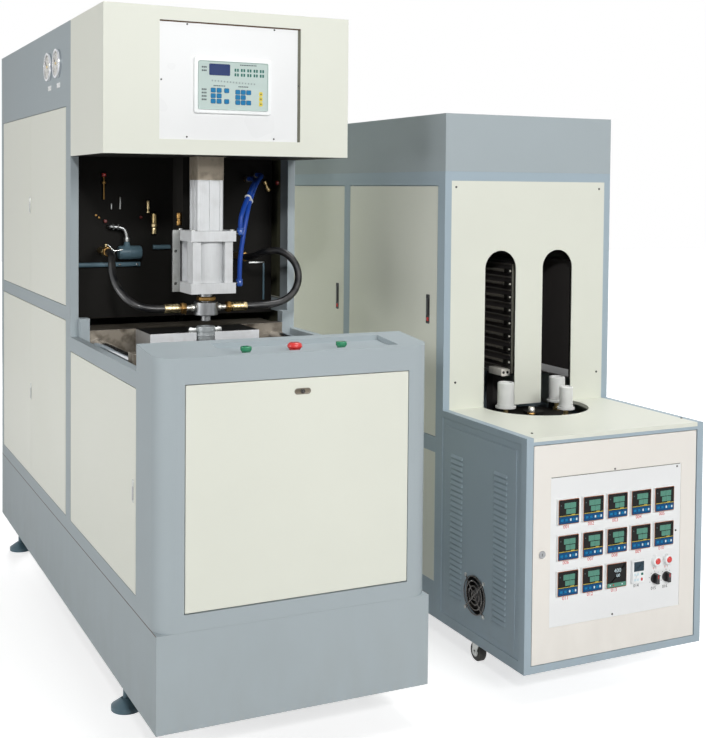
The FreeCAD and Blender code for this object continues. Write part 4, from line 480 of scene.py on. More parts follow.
CORNERS = ("front_left", "front_right", "rear_left", "rear_right")
DOORS = ("upper_front_door", "upper_rear_door", "lower_front_door", "lower_rear_door", "service_door",
         "heater_front_door", "heater_rear_door")
DRESSED = (
    (grey_coat, ("blower_frame", "front_cover", "heater_top_cap", "blower_outer_panels")),
    (heater_grey_coat, ("heater_frame", "louvre_panels")),
    (cream_coat, ("side_covers", "front_access_panel", "head_housing", "slot_panel", "heater_table") + DOORS),
    (warm_cream_coat, ("control_door",)),
    (white_coat, ("control_plate", "control_unit")),
    (black_coat, ("bay_back_panel", "wheel_drive", "preform_wheel")),
    (smoked_coat, ("lamp_bank",)),
    (chrome_plate, ("pressure_gauges", "tie_bars", "neck_ring", "stretch_rod")),
    (mould_steel, ("rear_mould_half", "front_mould_half")),
    (machined_steel, ("blow_manifold",)),
    (worn_plate, ("fixed_platens", "moving_platen")),
    (folded_steel, ("cylinder_bracket",)),
    (zinc_plate, ("castor_mounts", "front_left_fork", "front_right_fork", "fan_guard")),
    (satin_aluminium, ("seal_cylinder", "stretch_cylinder")),
    (cast_aluminium, ("clamp_cylinder",)),
    (turned_brass, ("brass_fittings",)),
    (blue_grey_coat, ("air_line_set", "levelling_feet")),
    (green_cap_plastic, ("start_button_left", "start_button_right")),
    (red_cap_plastic, ("stop_button",)),
    (black_plastic, ("fan_rotor", "left_knob", "right_knob")),
    (white_plastic, ("keypad_unit",)),
    (holder_plastic, ("preform_holders",)),
    (quartz, ("heating_lamps",)),
    (tread_rubber, tuple(corner + "_wheel" for corner in CORNERS)),
)


def repaint(node, material, test):
    """Give the node's faces whose centre (drawing millimetres) and normal pass the test another finish."""
    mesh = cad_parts[node].data
    mesh.materials.append(material)
    for face in mesh.polygons:
        if test((face.center - place(0, 0, 0)) / MM, face.normal):
            face.material_index = len(mesh.materials) - 1


def dress_nodes():
    """Every part of the model gets its finish, and some faces get another: the side covers' inner faces, the
    frame's side faces inside the bay and the head's underside take dark finishes that are painted shade.
    """
    for material, names in DRESSED:
        for name in names:
            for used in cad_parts[name].material_slots:
                used.material = material
    # Painted shade: the side covers' inner faces take a dark olive because the bay is dark inside.
    repaint("side_covers", inner_shade_olive, lambda at, normal: normal.x < -0.5 and at.x < 870)
    # Painted shade: the grey frame's side faces inside the bay are painted black where the bay lies in shade.
    repaint("blower_frame", black_coat, lambda at, normal: abs(normal.x) > 0.5 and 45 < at.x < 735
            and 320 < at.y < 1100 and 1040 < at.z < 1600)
    repaint("cylinder_bracket", black_coat, lambda at, normal: at.y > 836)
    # Painted shade: the head's downward faces are painted black as the shade under it.
    repaint("head_housing", black_coat, lambda at, normal: normal.z < -0.5)
    repaint("fan_guard", dark_wire, lambda at, normal: math.hypot(at.y - 255, at.z - 238) < 66)
    repaint("control_unit", white_plastic, lambda at, normal: at.y < low_of("control_unit", Y) + 8.5)
    repaint("heating_lamps", black_coat, lambda at, normal: at.y < 523 or at.y > 1577)
    repaint("preform_holders", turned_brass, lambda at, normal: at.z < 776.9)


# ---- making pieces by hand ----
def pick_nothing():
    if bpy.context.object and bpy.context.object.mode != "OBJECT":
        bpy.ops.object.mode_set(mode="OBJECT")
    bpy.ops.object.select_all(action="DESELECT")


def pick(piece):
    pick_nothing()
    piece.select_set(True)
    bpy.context.view_layer.objects.active = piece


def settled(name):
    """The primitive that was just added, named, with its place in its mesh."""
    piece = bpy.context.object
    piece.name = name
    pick(piece)
    bpy.ops.object.transform_apply(location=True, rotation=True, scale=True)
    return piece


def block(name, x, y, z):
    """A box from three pairs of ends in millimetres, as a start."""
    pick_nothing()
    low, high = (place(*corner) for corner in zip(*(sorted(ends) for ends in (x, y, z))))
    bpy.ops.mesh.primitive_cube_add(size=1, location=(low + high) / 2, scale=high - low)
    return settled(name)


def bar(name, centre, radius, length, axis, sides=24):
    """A round bar that starts at centre and runs length along axis, as a start."""
    pick_nothing()
    middle = list(centre)
    middle[axis] += length / 2
    turn = {X: (0, math.pi / 2, 0), Y: (-math.pi / 2, 0, 0), Z: (0, 0, 0)}[axis]
    bpy.ops.mesh.primitive_cylinder_add(
        vertices=sides, radius=radius * MM, depth=length * MM, location=place(*middle), rotation=turn)
    return settled(name)


def choose(piece, kind, test):
    """Select the mesh's edges or faces that pass the test, alone, and go to edit mode."""
    pick(piece)
    mesh = piece.data
    for group in (mesh.vertices, mesh.edges, mesh.polygons):
        group.foreach_set("select", [False] * len(group))
    for part in mesh.edges if kind == "EDGE" else mesh.polygons:
        part.select = test(part)
    bpy.ops.object.mode_set(mode="EDIT")
    bpy.ops.mesh.select_mode(type=kind)


def choose_end(piece, axis, sign):
    """Choose the farthest faces that look along axis times sign."""
    facing = [face for face in piece.data.polygons if face.normal[axis] * sign > 0.99]
    farthest = max(face.center[axis] * sign for face in facing)
    choose(piece, "FACE", lambda face: face.normal[axis] * sign > 0.99
           and face.center[axis] * sign > farthest - 1e-5)


def round_corners(piece, axis, radius, segments=5):
    """Round the corners whose edges run along axis."""
    points = piece.data.vertices

    def runs_along(edge):
        run = points[edge.vertices[1]].co - points[edge.vertices[0]].co
        return abs(run.normalized()[axis]) > 0.99

    choose(piece, "EDGE", runs_along)
    bpy.ops.mesh.bevel(offset=radius * MM, segments=segments, affect="EDGES")
    bpy.ops.object.mode_set(mode="OBJECT")
    return piece


def sink(piece, axis, sign, border, depth):
    """Inset the outer face by border and push it in by depth."""
    choose_end(piece, axis, sign)
    bpy.ops.mesh.inset(thickness=border * MM, depth=0)
    move = [0, 0, 0]
    move[axis] = -sign * depth * MM
    bpy.ops.mesh.extrude_region_move(TRANSFORM_OT_translate={"value": move})
    bpy.ops.object.mode_set(mode="OBJECT")
    return piece


def hexagon(name, start, across, length, axis, bite=0.12):
    """A hexagonal nut with its corners turned off at both ends."""
    nut = bar(name, start, across / math.sqrt(3), length, axis, 6)
    for sign in (-1, 1):
        choose_end(nut, axis, sign)
        bpy.ops.mesh.bevel(offset=across * bite * MM, segments=2, affect="EDGES", clamp_overlap=True)
        bpy.ops.object.mode_set(mode="OBJECT")
    return nut


def turned(name, centre, axis, profile, sides=32, sign=1, hollow=False):
    """A turned piece: profile is a list of (radius, height) pairs, with heights that run from centre
    along axis times sign. Its ends close on the axis unless it is hollow."""
    if profile[0][0] and not hollow:
        profile = [(0, profile[0][1])] + profile
    if profile[-1][0] and not hollow:
        profile = profile + [(0, profile[-1][1])]
    pick_nothing()
    mesh = bpy.data.meshes.new(name)
    piece = linked(bpy.data.objects.new(name, mesh))
    origin = place(*centre)
    out = [Vector((0, 1, 0)), Vector((0, 0, 1)), Vector((1, 0, 0))][axis]
    along = Vector([sign if i == axis else 0 for i in range(3)])
    points = [origin + out * radius * MM + along * height * MM for radius, height in profile]
    mesh.from_pydata(points, [(i, i + 1) for i in range(len(points) - 1)], [])
    pick(piece)
    bpy.ops.object.mode_set(mode="EDIT")
    bpy.ops.mesh.select_all(action="SELECT")
    bpy.ops.mesh.spin(steps=sides, angle=math.tau, center=origin, axis=along)
    bpy.ops.mesh.select_all(action="SELECT")
    bpy.ops.mesh.remove_doubles(threshold=0.000005)
    bpy.ops.mesh.normals_make_consistent(inside=False)
    bpy.ops.object.mode_set(mode="OBJECT")
    return piece


def round_tube(name, route, diameter, sides):
    """A tube round a smooth line whose control points are the route's, and the points of that line."""
    data = bpy.data.curves.new(name, "CURVE")
    data.dimensions = "3D"
    spline = data.splines.new("NURBS")
    spline.points.add(len(route) - 1)
    for point, stop in zip(spline.points, route):
        point.co = (*place(*stop), 1)
    spline.order_u = 3
    spline.use_endpoint_u = True
    spline.resolution_u = 12
    curve = linked(bpy.data.objects.new(name + "_line", data))
    line = bpy.data.meshes.new_from_object(curve)
    points = [vertex.co.copy() for vertex in line.vertices]
    bpy.data.meshes.remove(line)
    data.bevel_depth = diameter / 2 * MM
    data.bevel_resolution = sides // 4 - 1
    data.use_fill_caps = True
    mesh = bpy.data.meshes.new_from_object(curve)
    mesh.name = name
    bpy.data.objects.remove(curve)
    mesh.polygons.foreach_set("use_smooth", [True] * len(mesh.polygons))
    return linked(bpy.data.objects.new(name, mesh)), points


def figures(text, size, where, turn, material, depth=0.12, resolution=3):
    """Plain figures that stand a hair proud of a face, turned round their middle."""
    curve = bpy.data.curves.new("figures", "FONT")
    curve.body = text
    curve.size = size * MM
    curve.extrude = depth * MM
    curve.resolution_u = resolution
    curve.align_x = "CENTER"
    curve.align_y = "CENTER"
    pick(linked(bpy.data.objects.new("figures", curve)))
    bpy.ops.object.convert(target="MESH")
    letters = bpy.context.object
    letters.data.transform(Matrix.Translation(where) @ turn)
    return painted(letters, material)


def painted(piece, material):
    """The piece with this finish alone."""
    piece.data.materials.clear()
    piece.data.materials.append(material)
    return piece


def twisted(piece, turn, pivot):
    """The piece, turned round a point."""
    piece.data.transform(Matrix.Translation(pivot) @ turn @ Matrix.Translation(-pivot))
    return piece


def joined(name, pieces):
    """Several meshes as one piece; each keeps its own finishes."""
    pick_nothing()
    for piece in pieces:
        piece.select_set(True)
    bpy.context.view_layer.objects.active = pieces[0]
    if len(pieces) > 1:
        bpy.ops.object.join()
    bpy.context.object.name = name
    return bpy.context.object


def hang(piece, body, smooth=30):
    """Shade the piece and let it ride on its body."""
    pick(piece)
    bpy.ops.object.shade_smooth_by_angle(angle=math.radians(smooth))
    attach(piece, body)


def finish(piece, material, body, slot=None, edge=0.6, smooth=35):
    """Soften the edges, paint the piece and hang it on its body."""
    pick(piece)
    if edge > 0:
        soften = piece.modifiers.new("edges", "BEVEL")
        soften.width = edge * MM
        soften.segments = 2
        soften.limit_method = "ANGLE"
        soften.angle_limit = math.radians(35)
        bpy.ops.object.modifier_apply(modifier=soften.name)
    hang(painted(piece, material), body, smooth)


def screws(name, places, axis, sign, radius, material, body):
    """Pan head screws with a cross recess; places are the points where the heads sit."""
    first = places[0]
    head = turned(name, first, axis, [(radius, 0.05), (radius, 0.30 * radius), (0.82 * radius, 0.55 * radius),
                                      (0.4 * radius, 0.66 * radius), (0, 0.68 * radius)], 16, sign)
    parts = [painted(head, material)]
    for long_axis in [(Y, Z), (Z, X), (X, Y)][axis]:
        spans = [(at - 0.12 * radius, at + 0.12 * radius) for at in first]
        spans[long_axis] = (first[long_axis] - 0.6 * radius, first[long_axis] + 0.6 * radius)
        spans[axis] = (first[axis] + sign * 0.5 * radius, first[axis] + sign * 0.72 * radius)
        parts.append(painted(block(name + "_recess", *spans), black_plastic))
    whole = joined(name, parts)
    twins = [whole]
    for point in places[1:]:
        twin = linked(whole.copy())
        twin.data = whole.data.copy()
        move = Vector([a - b for a, b in zip(point, first)]) * MM
        twin.data.transform(Matrix.Translation(move))
        twins.append(twin)
    hang(joined(name, twins), body, 40)


def socket_screws(name, places, radius, body):
    """Upright cap screws with a socket."""
    profile = [(radius, 0.1), (radius, 0.62 * radius), (0.88 * radius, 0.72 * radius),
               (0.55 * radius, 0.72 * radius), (0.5 * radius, 0.3 * radius)]
    heads = [painted(turned(name, point, Z, profile, 18), zinc_plate) for point in places]
    hang(joined(name, heads), body, 35)


# ---- hoses and air tubes: the routes of the drawing, from end to end ----
HOSE_DIAMETER = 24.0
TUBE_DIAMETER = 16.0
LEFT_HOSE = [(252, 760, 1105), (196, 760, 1105), (148, 780, 1126), (122, 818, 1162), (113, 862, 1204),
             (120, 900, 1250), (134, 952, 1274), (134, 1000, 1274)]
RIGHT_HOSE = [(528, 760, 1105), (592, 760, 1105), (656, 766, 1112), (708, 780, 1142), (733, 798, 1194),
              (724, 822, 1246), (690, 854, 1279), (643, 892, 1274), (616, 944, 1250), (616, 1000, 1250)]
LONG_TUBE = [(502, 756, 1192), (502, 756, 1236), (507, 757, 1281), (518, 760, 1347), (536, 775, 1412),
             (554, 800, 1445), (598, 870, 1492), (646, 950, 1521), (685, 1016, 1534), (685, 1072, 1534)]
SHORT_TUBE = [(498, 740, 1357), (498, 740, 1384), (507, 746, 1408), (521, 762, 1432), (543, 790, 1456),
              (581, 850, 1490), (624, 930, 1509), (655, 1010, 1519), (655, 1072, 1519)]
HOSES = (("left_blow_hose", LEFT_HOSE, 0.394), ("right_blow_hose", RIGHT_HOSE, 0.536))    # lengths in metres
TUBES = (("long_air_tube", LONG_TUBE, 0.594), ("short_air_tube", SHORT_TUBE, 0.446))


def run_cord(name, route, diameter, sides, material, node):
    """A hose or tube that stands for one of the node's."""
    tube, points = round_tube(name, route, diameter, sides)
    painted(tube, material)
    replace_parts(tube, node)
    return tube


def run_cords():
    """The two blowing hoses and the two air tubes."""
    for name, route, length in HOSES:
        hose = run_cord(name, route, HOSE_DIAMETER, 24, black_rubber, "blow_hoses")
        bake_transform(hose)
    for name, route, length in TUBES:
        tube = run_cord(name, route, TUBE_DIAMETER, 16, blue_tube_plastic, "air_tubes")
        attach(tube, "machine")


dress_nodes()
run_cords()


# ---- control head: the keypad's columns and rows, and its legends ----
PLATE_SCREWS = ((252, 1969), (530, 1969), (173, 1803), (611, 1803), (252, 1637), (530, 1637))
FILM = ((284.0, 506.0), (1720.0, 1864.0))
DISPLAY = ((318.0, 384.0), (1822.0, 1856.0))
BLUE_KEYS = (((331.0, 349.5, 373.5), (1777.5, 1761.0, 1745.0)), ((409.0, 426.5, 444.0), (1774.5, 1759.0, 1743.5)))
KEY_SIZE = (14.4, 12.6)
YELLOW_KEY_X = 483.5
YELLOW_KEY_Z = (1771.0, 1756.0, 1741.0)
LEGENDS = ((297, 1845, 3, 5), (297, 1835, 3, 5), (297, 1779, 3, 5), (297, 1769, 3, 5), (297, 1759, 3, 5),
           (297, 1749, 3, 5), (334, 1791, 7, 3), (413, 1791, 6, 3.4), (418, 1856, 10, 3))


def key(name, x, z, width, height, face, proud, material):
    """One raised key or mark of a membrane keypad."""
    cap = block(name, (x - width / 2, x + width / 2), (face - proud, face + 0.2),
                (z - height / 2, z + height / 2))
    round_corners(cap, Y, min(width, height) * 0.2, 3)
    return painted(sink(cap, Y, -1, 1.2, 0.2), material)


def dress_keypad():
    """The membrane keypad: film, display with a bezel, two rows of lamps, blue and yellow keys."""
    back = low_of("keypad_unit", Y)
    face = back - 0.5
    film = round_corners(block("keypad_film", FILM[0], (face, back + 0.3), FILM[1]), Y, 5, 4)
    glass = round_corners(block("keypad_display", DISPLAY[0], (face - 0.8, face + 0.2), DISPLAY[1]), Y, 3, 3)
    parts = [painted(film, key_grey_film), painted(sink(glass, Y, -1, 1.6, 0.5), display_blue)]
    width, height = KEY_SIZE
    for columns, rows in BLUE_KEYS:
        for x, z in [(x, z) for x in columns for z in rows if (x, z) != (columns[2], rows[1])]:
            parts.append(key("key_patch", x, z, width + 1.6, height + 1.6, face, 0.3, key_outline))
            parts.append(key("key", x, z, width, height, face, 0.9, key_blue))
    for z in YELLOW_KEY_Z:
        parts.append(key("yellow_key", YELLOW_KEY_X, z, 11, 13, face, 0.9, key_yellow))
        parts.append(key("yellow_key_mark", YELLOW_KEY_X, z, 4, 4, face, 1.1, legend_grey))
    for z in (1840.0, 1826.0):
        for i in range(5):
            for side in (LEFT, RIGHT):
                parts.append(key("row_lamp", 405 + i * 20.4 + side * 4, z, 5.4, 9, face, 0.5, lamp_green))
    for x, z, count, height in LEGENDS:
        for i in range(count):
            parts.append(key("legend", x + i * 5.4, z, 4.2, height, face, 0.3, legend_grey))
    for i in range(15):
        parts.append(key("legend", 328 + i * 9.6, 1806 - i * 0.4, 4.4, 5, face, 0.3, legend_pale))
    hang(joined("keypad_face", parts), "machine", 2)


def dress_head():
    """The plate's screws, the keypad, and thin dark strips of painted shade at the window's top and right edge."""
    face = low_of("control_plate", Y)
    screws("plate_screws", [(x, face, z) for x, z in PLATE_SCREWS], Y, -1, 2.8, screw_black, "machine")
    dress_keypad()
    # Thin dark strips paint the shade on the housing wall's inner edges at the window's top and right.
    for x, z, material in (((167, 617), (1973, 1977), seam_and_shade_brown), ((608, 617), (1629, 1973), shade_olive)):
        finish(block("window_return_shade", x, (face - 0.8, face + 0.1), z), material, "machine", "white_plate", 0.3)


# ---- pressure gauges in the left panel ----
GAUGE_PLACES = ((1131.0, 1895.0), (1270.0, 1895.0))
GAUGE_RADIUS = 48.0
GAUGE_MARKS = 41
RED_FROM = 35
GAUGE_RIM = [(41.6, -3.4), (42.2, -1.3), (43.6, -0.2), (46.0, 0.0), (47.8, -0.7), (48.4, -2.7), (48.4, -8.0),
             (48.1, -8.0)]


def gauge_dial(face, y, z):
    """A dial with its scale, figures, needle and boss, under a thin rim."""
    pivot = place(face, y, z)
    upright = Matrix.Rotation(-math.pi / 2, 4, "Z") @ Matrix.Rotation(math.pi / 2, 4, "X")
    parts = [painted(bar("gauge_dial", (face - 0.6, y, z), GAUGE_RADIUS - 6.4, 0.8, X, 48), dial_white)]
    for i in range(GAUGE_MARKS):
        long = i % 10 == 0
        angle = math.radians(225 - 270 * i / (GAUGE_MARKS - 1))
        half = 0.8 if long else 0.45
        mark = block("gauge_mark", (face - 0.9, face - 0.5), (y - half, y + half),
                     (z + (32.0 if long else 35.5), z + 39.5))
        twisted(mark, Matrix.Rotation(math.pi / 2 - angle, 4, "X"), pivot)
        parts.append(painted(mark, dial_red if i >= RED_FROM else dial_black))
        if long:
            where = place(face - 0.8, y - 25 * math.cos(angle), z + 25 * math.sin(angle))
            parts.append(figures(str(i // 10 * 4), 9, where, upright, dial_black, 0.1, 12))
    needle = block("gauge_needle", (face - 2.0, face - 1.4), (y - 1.2, y + 1.2), (z - 9, z + 33))
    twisted(needle, Matrix.Rotation(math.radians(-52), 4, "X"), pivot)
    boss = turned("gauge_boss", (face - 0.6, y, z), X, [(0, 3.0), (3.0, 2.8), (4.6, 2.0), (5.0, 0.2)], 24, -1)
    return parts + [painted(needle, dial_black), painted(boss, turned_brass)]


def dress_gauges():
    rim_x = low_of("pressure_gauges", X)
    for number, (y, z) in zip("12", GAUGE_PLACES):
        face = joined("gauge_face_" + number, gauge_dial(rim_x + 3, y, z))
        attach(face, "machine")
        rim = turned("gauge_rim_" + number, (rim_x, y, z), X, GAUGE_RIM, 64, -1, hollow=True)
        finish(rim, chrome_plate, "machine", "gauge", 0)
        plate = block("gauge_plate_" + number, (-1.2, 0.2), (y - 24, y + 24), (z - 80, z - 64))
        finish(round_corners(plate, X, 2), white_coat, "machine", "white_plate", 0.3)
        screws("gauge_plate_screws_" + number, [(-1.2, y - 20, z - 72), (-1.2, y + 20, z - 72)], X, -1,
               1.8, zinc_plate, "machine")


dress_head()
dress_gauges()


# ---- bay: air parts on the black sheet ----
SHEET_Y = low_of("bay_back_panel", Y)
TANK_Y = SHEET_Y - 23
VALVE_Y = SHEET_Y - 9
TANK_PIPE = [(218, TANK_Y, 1316), (216, TANK_Y, 1328), (211, TANK_Y, 1343), (200, TANK_Y, 1350),
             (188, TANK_Y, 1352), (172, TANK_Y, 1354), (162, TANK_Y + 4, 1355), (160, TANK_Y + 12, 1355),
             (160, SHEET_Y, 1355)]
LEVER = [(136, 1026, 1297), (146, 1020, 1292), (154, 1014, 1276), (170, 1010, 1277), (186, 1008, 1281)]
VALVE_PARTS = (      # name, centre, profile along Z, sides, finish, edge, angle that stays smooth
    ("first_valve", (316, VALVE_Y, 1328), [(8.5, 0), (9, 1.5), (9, 21), (8, 23)], 24, pale_brass, 0.2, 40),
    ("first_valve_cap", (316, VALVE_Y, 1364), [(9, 0), (9, 31), (8.2, 34), (4, 36)], 24, turned_brass, 0.2, 40),
    ("second_valve", (412, VALVE_Y, 1340), [(8, 0), (8, 16), (6.4, 18), (6.4, 24)], 24, pale_brass, 0.2, 40),
    ("second_valve_cap", (412, VALVE_Y, 1374), [(7.5, 0), (7.5, 32), (6.4, 36), (0, 38)], 24, brown_brass,
     0.2, 40),
    ("needle_valve", (296, SHEET_Y - 6, 1400), [(5.6, 0), (5.6, 7), (3, 8), (3, 12), (5.6, 13), (5.8, 38),
                                                (4, 43), (0, 44)], 20, pale_brass, 0.2, 40),
    ("knob_valve_stem", (143, SHEET_Y - 8, 1445), [(3, 0), (3, 52), (7.6, 54), (7.6, 60), (3, 62), (3, 78)],
     20, brown_brass, 0.2, 40),
    ("knob_valve_cap", (143, SHEET_Y - 8, 1522), [(7.6, 0), (8, 2), (8, 9), (6.6, 11.6), (0, 12)], 14,
     red_cap_plastic, 0.4, 20),
    ("air_pin", (170, SHEET_Y - 3, 1412), [(2.6, 0), (3, 1), (3, 18), (1.6, 20)], 14, zinc_plate, 0, 40),
    ("air_pin", (200, SHEET_Y - 3, 1412), [(2.6, 0), (3, 1), (3, 40), (1.6, 42)], 14, zinc_plate, 0, 40),
)


def air_piece(piece, material, edge=0.4, smooth=40):
    """One of the pieces that stand for the air parts of the model."""
    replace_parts(piece, "air_line_set")
    finish(piece, material, "machine", "air_parts", edge, smooth)


def dress_reservoir():
    """The small tank with its boss, collar and bent pipe."""
    tank = turned("reservoir", (187, TANK_Y, 1267), X,
                  [(0, 0), (12, 0.2), (20, 2.5), (23, 7), (23, 38), (23.6, 38.6), (23.6, 41.4), (23, 42), (23, 75),
                   (21, 79.5), (13, 81)], 40)
    air_piece(tank, blue_grey_coat, 0)
    boss = turned("reservoir_boss", (218, TANK_Y, 1267), Z, [(17, 17), (13, 22), (10.4, 28), (9, 36)], 32)
    air_piece(boss, blue_grey_coat, 0.3)
    collar = turned("reservoir_collar", (218, TANK_Y, 1267), Z,
                    [(10.2, 36.5), (10.5, 38), (10.5, 41), (9.6, 42), (10.5, 43), (10.5, 48), (9.8, 50)], 24)
    air_piece(collar, zinc_plate, 0.2)
    air_piece(round_tube("reservoir_pipe", TANK_PIPE, 15, 16)[0], silver_hose, 0)
    for x in (184.0, 168.0):
        air_piece(hexagon("reservoir_pipe_nut", (x, TANK_Y, 1353), 20, 6, X), zinc_plate, 0.2)
    for name, x, z in (("air_bar", (26.0, 268.0), 1226.0), ("air_stub", (313.0, 374.0), 1283.0)):
        piece = block(name, x, (SHEET_Y - 15, SHEET_Y), (z - 7.5, z + 7.5))
        air_piece(round_corners(piece, X, 5, 4), blue_grey_coat, 1.2)
    screws("air_bar_screws", [(x, SHEET_Y - 15, 1226.0) for x in (48, 196, 256)], Y, -1, 4.0, zinc_plate,
           "machine")


def dress_valves():
    """Upright valves on the black sheet, each a stack of turned and hexagonal parts."""
    for name, centre, profile, sides, material, edge, smooth in VALVE_PARTS:
        air_piece(turned(name, centre, Z, profile, sides), material, edge, smooth)
    air_piece(hexagon("first_valve_nut", (316, VALVE_Y, 1351.5), 17, 12, Z), pale_brass, 0.3)
    air_piece(hexagon("second_valve_nut", (412, VALVE_Y, 1364.5), 16, 9, Z), zinc_plate, 0.3)


def dress_outlets():
    """The two hose outlets; the left one is a ball valve with a lever."""
    for name, x, z in (("left_outlet", 134.0, 1274.0), ("right_outlet", 616.0, 1250.0)):
        air_piece(hexagon(name + "_nut", (x, 1000, z), 30, 16, Y), brown_brass, 0.4)
        ball = turned(name + "_body", (x, 1016, z), Y,
                      [(11, 0), (15.4, 5), (16, 12), (15.4, 19), (11, 24), (12, 26), (12, 84)], 32)
        air_piece(ball, turned_brass, 0.3)
        spindle = turned(name + "_spindle", (x, 1028, z + 14), Z,
                         [(5, 0), (5, 6), (7, 7), (7, 10), (4, 13)], 20)
        air_piece(spindle, pale_brass, 0.2)
    air_piece(round_tube("outlet_lever", LEVER, 5.2, 12)[0], zinc_plate, 0)


def dress_tube_fittings():
    """Push-in elbows on the sealing cylinder and bulkhead fittings on the black sheet, with blue collars."""
    for name, x, y, top, arm in (("long_port", 502.0, 756.0, 1192.0, 24.0),
                                 ("short_port", 498.0, 740.0, 1357.0, 20.0)):
        arm_z = min(top - 11, 1340)
        body = turned(name + "_elbow", (x, y, top - 22), Z,
                      [(0, 0), (8, 0.4), (10.6, 4), (11, 8), (11, 18), (9.6, 20)], 28)
        air_piece(body, fitting_blue, 0.3)
        air_piece(turned(name + "_arm", (x, y, arm_z), X, [(6.4, 0), (6.4, arm)], 20, -1), black_plastic, 0.2)
        air_piece(hexagon(name + "_nut", (464, y, arm_z), 13, 14, X), zinc_plate, 0.3)
        ring = turned(name + "_collar", (x, y, top - 2.4), Z,
                      [(8.1, 0), (10.4, 0), (11, 1.2), (11, 3.4), (9.6, 4.4), (8.1, 4.4)], 28, hollow=True)
        air_piece(ring, fitting_blue, 0)
    for name, x, z in (("long_bulkhead", 685.0, 1534.0), ("short_bulkhead", 655.0, 1519.0)):
        body = turned(name, (x, 1072, z), Y,
                      [(8.1, 0), (10.6, 0.4), (11, 2), (11, 16), (9, 18), (9, 28), (8.1, 28)], 28, hollow=True)
        air_piece(body, black_plastic, 0.2)
        air_piece(hexagon(name + "_nut", (x, SHEET_Y - 8, z), 19, 8, Y), brown_brass, 0.3)


dress_reservoir()
dress_valves()
dress_outlets()
dress_tube_fittings()


# ---- hose fittings, neck ring, bolts, lock, latches and small things in the bay ----
HEAD_X, HEAD_Y = 390.0, 760.0       # the axis of the blowing head
PORT_Z = 1105.0
BLOWER_WIDTH = 780.0
PLINTH_TOP = 366.0
# where the sleeve, and with it the painted shadow of the head, ends on the stretch cylinder
SHADED_SLEEVE_BOTTOM = 1511.0
WALL_X = 740.0
HEAD_FITTINGS = (                   # name, distance from the axis, profile away from it, sides, finish
    ("_port", 39, [(11, 0), (11.8, 1), (11.8, 9), (10.4, 10.4)], 28, port_zinc),
    ("_coupling", 49, [(7, 0), (8.6, 2), (8.6, 5), (7.2, 6), (8.6, 7), (8.6, 18)], 28, port_zinc),
    ("_ferrule", 84, [(11, 0), (11, 3), (13.6, 4), (15, 6), (15, 18), (14.2, 19), (15, 20), (15, 30), (14.2, 31),
                      (15, 32), (15, 52), (14.2, 53.6), (12.1, 54)], 36, pale_brass),
)


def head_fitting(piece, material, edge=0.3):
    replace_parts(piece, "brass_fittings")
    finish(piece, material, "blow_head", "brass", edge)


def dress_fittings():
    """Port nut, coupling, hex and grooved ferrule on each side of the blowing head, and its lock nut."""
    for side, name in ((LEFT, "left"), (RIGHT, "right")):
        for part, reach, profile, sides, material in HEAD_FITTINGS:
            centre = (HEAD_X + side * reach, HEAD_Y, PORT_Z)
            head_fitting(turned(name + part, centre, X, profile, sides, side), material)
        hex_start = HEAD_X + (67 if side == RIGHT else -84)
        head_fitting(hexagon(name + "_hose_nut", (hex_start, HEAD_Y, PORT_Z), 33, 17, X), brown_brass)
    head_fitting(hexagon("lock_nut", (HEAD_X, HEAD_Y, 1126), 54, 14.6, Z, 0.06), brown_brass, 0.4)


def dress_neck_ring():
    """The split neck ring: ribbed body, a bore, and ears held by two screws."""
    ring = turned("neck_ring_body", (HEAD_X, HEAD_Y, 1001), Z,
                  [(16, 0), (26, 0), (27, 2), (27, 12), (29, 14), (29, 17), (27, 19), (27, 27), (30, 29), (30, 43),
                   (28.4, 45), (18, 45), (16, 43), (16, 0)], 48, hollow=True)
    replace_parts(ring, "neck_ring")
    finish(ring, ring_steel, "machine", "chrome", 0)
    for side in (LEFT, RIGHT):
        ear = block("neck_ring_ear", (HEAD_X + side * 27.5, HEAD_X + side * 55), (761, 779), (1024, 1040))
        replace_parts(round_corners(ear, Z, 3, 3), "neck_ring")
        finish(ear, zinc_plate, "machine", "chrome", 0.8)
    screws("neck_ring_screws", [(HEAD_X - 46, 770, 1040), (HEAD_X + 46, 770, 1040)], Z, 1, 5.0, zinc_plate,
           "machine")


def dress_bolts():
    """Cap screws on the sealing cylinder and the front mould half, and the mould's water port."""
    top = high_of("seal_cylinder", Z)
    corners = [(HEAD_X + a * 64, HEAD_Y + b * 64, top) for a in (-1, 1) for b in (-1, 1)]
    socket_screws("cylinder_bolts", corners, 7.0, "machine")
    top = high_of("front_mould_half", Z)
    face = low_of("front_mould_half", Y)
    socket_screws("mould_top_screws", [(HEAD_X + a * 104, face + 60, top) for a in (-1, 1)], 6.0, "clamp")
    port = turned("mould_water_port", (HEAD_X - 120, face, top - 26), Y,
                  [(7, 0.1), (7, 2), (5.4, 3.4), (3.2, 3.4), (3, 1.5)], 24, -1)
    finish(port, screw_black, "clamp", "cast_aluminium", 0)


def dress_front():
    """The front panel's lock and the rings round the push buttons."""
    face = low_of("front_access_panel", Y)
    shield = round_corners(block("panel_lock", (371, 417), (face - 2.2, face + 0.2), (949, 965)), Y, 7.8, 8)
    finish(sink(shield, Y, -1, 2.4, 0.8), lock_bronze, "front_access_panel", "cream_paint", 0.3)
    barrel = turned("panel_lock_barrel", (394, face - 1.2, 957), Y,
                    [(6, 0), (6, 2.2), (5, 3), (1.6, 3), (1.4, 2)], 28, -1)
    finish(barrel, screw_black, "front_access_panel", "cream_paint", 0)
    for x in (255.0, 393.0, 530.0):
        ring = turned("button_ring", (x, 52, 1049.6), Z,
                      [(11.3, 0), (17.4, 0), (17.4, 2.6), (15.6, 4), (12.4, 4.2), (11.3, 3.4), (11.3, 0)], 36,
                      hollow=True)
        finish(ring, chrome_plate, "machine", "steel", 0)


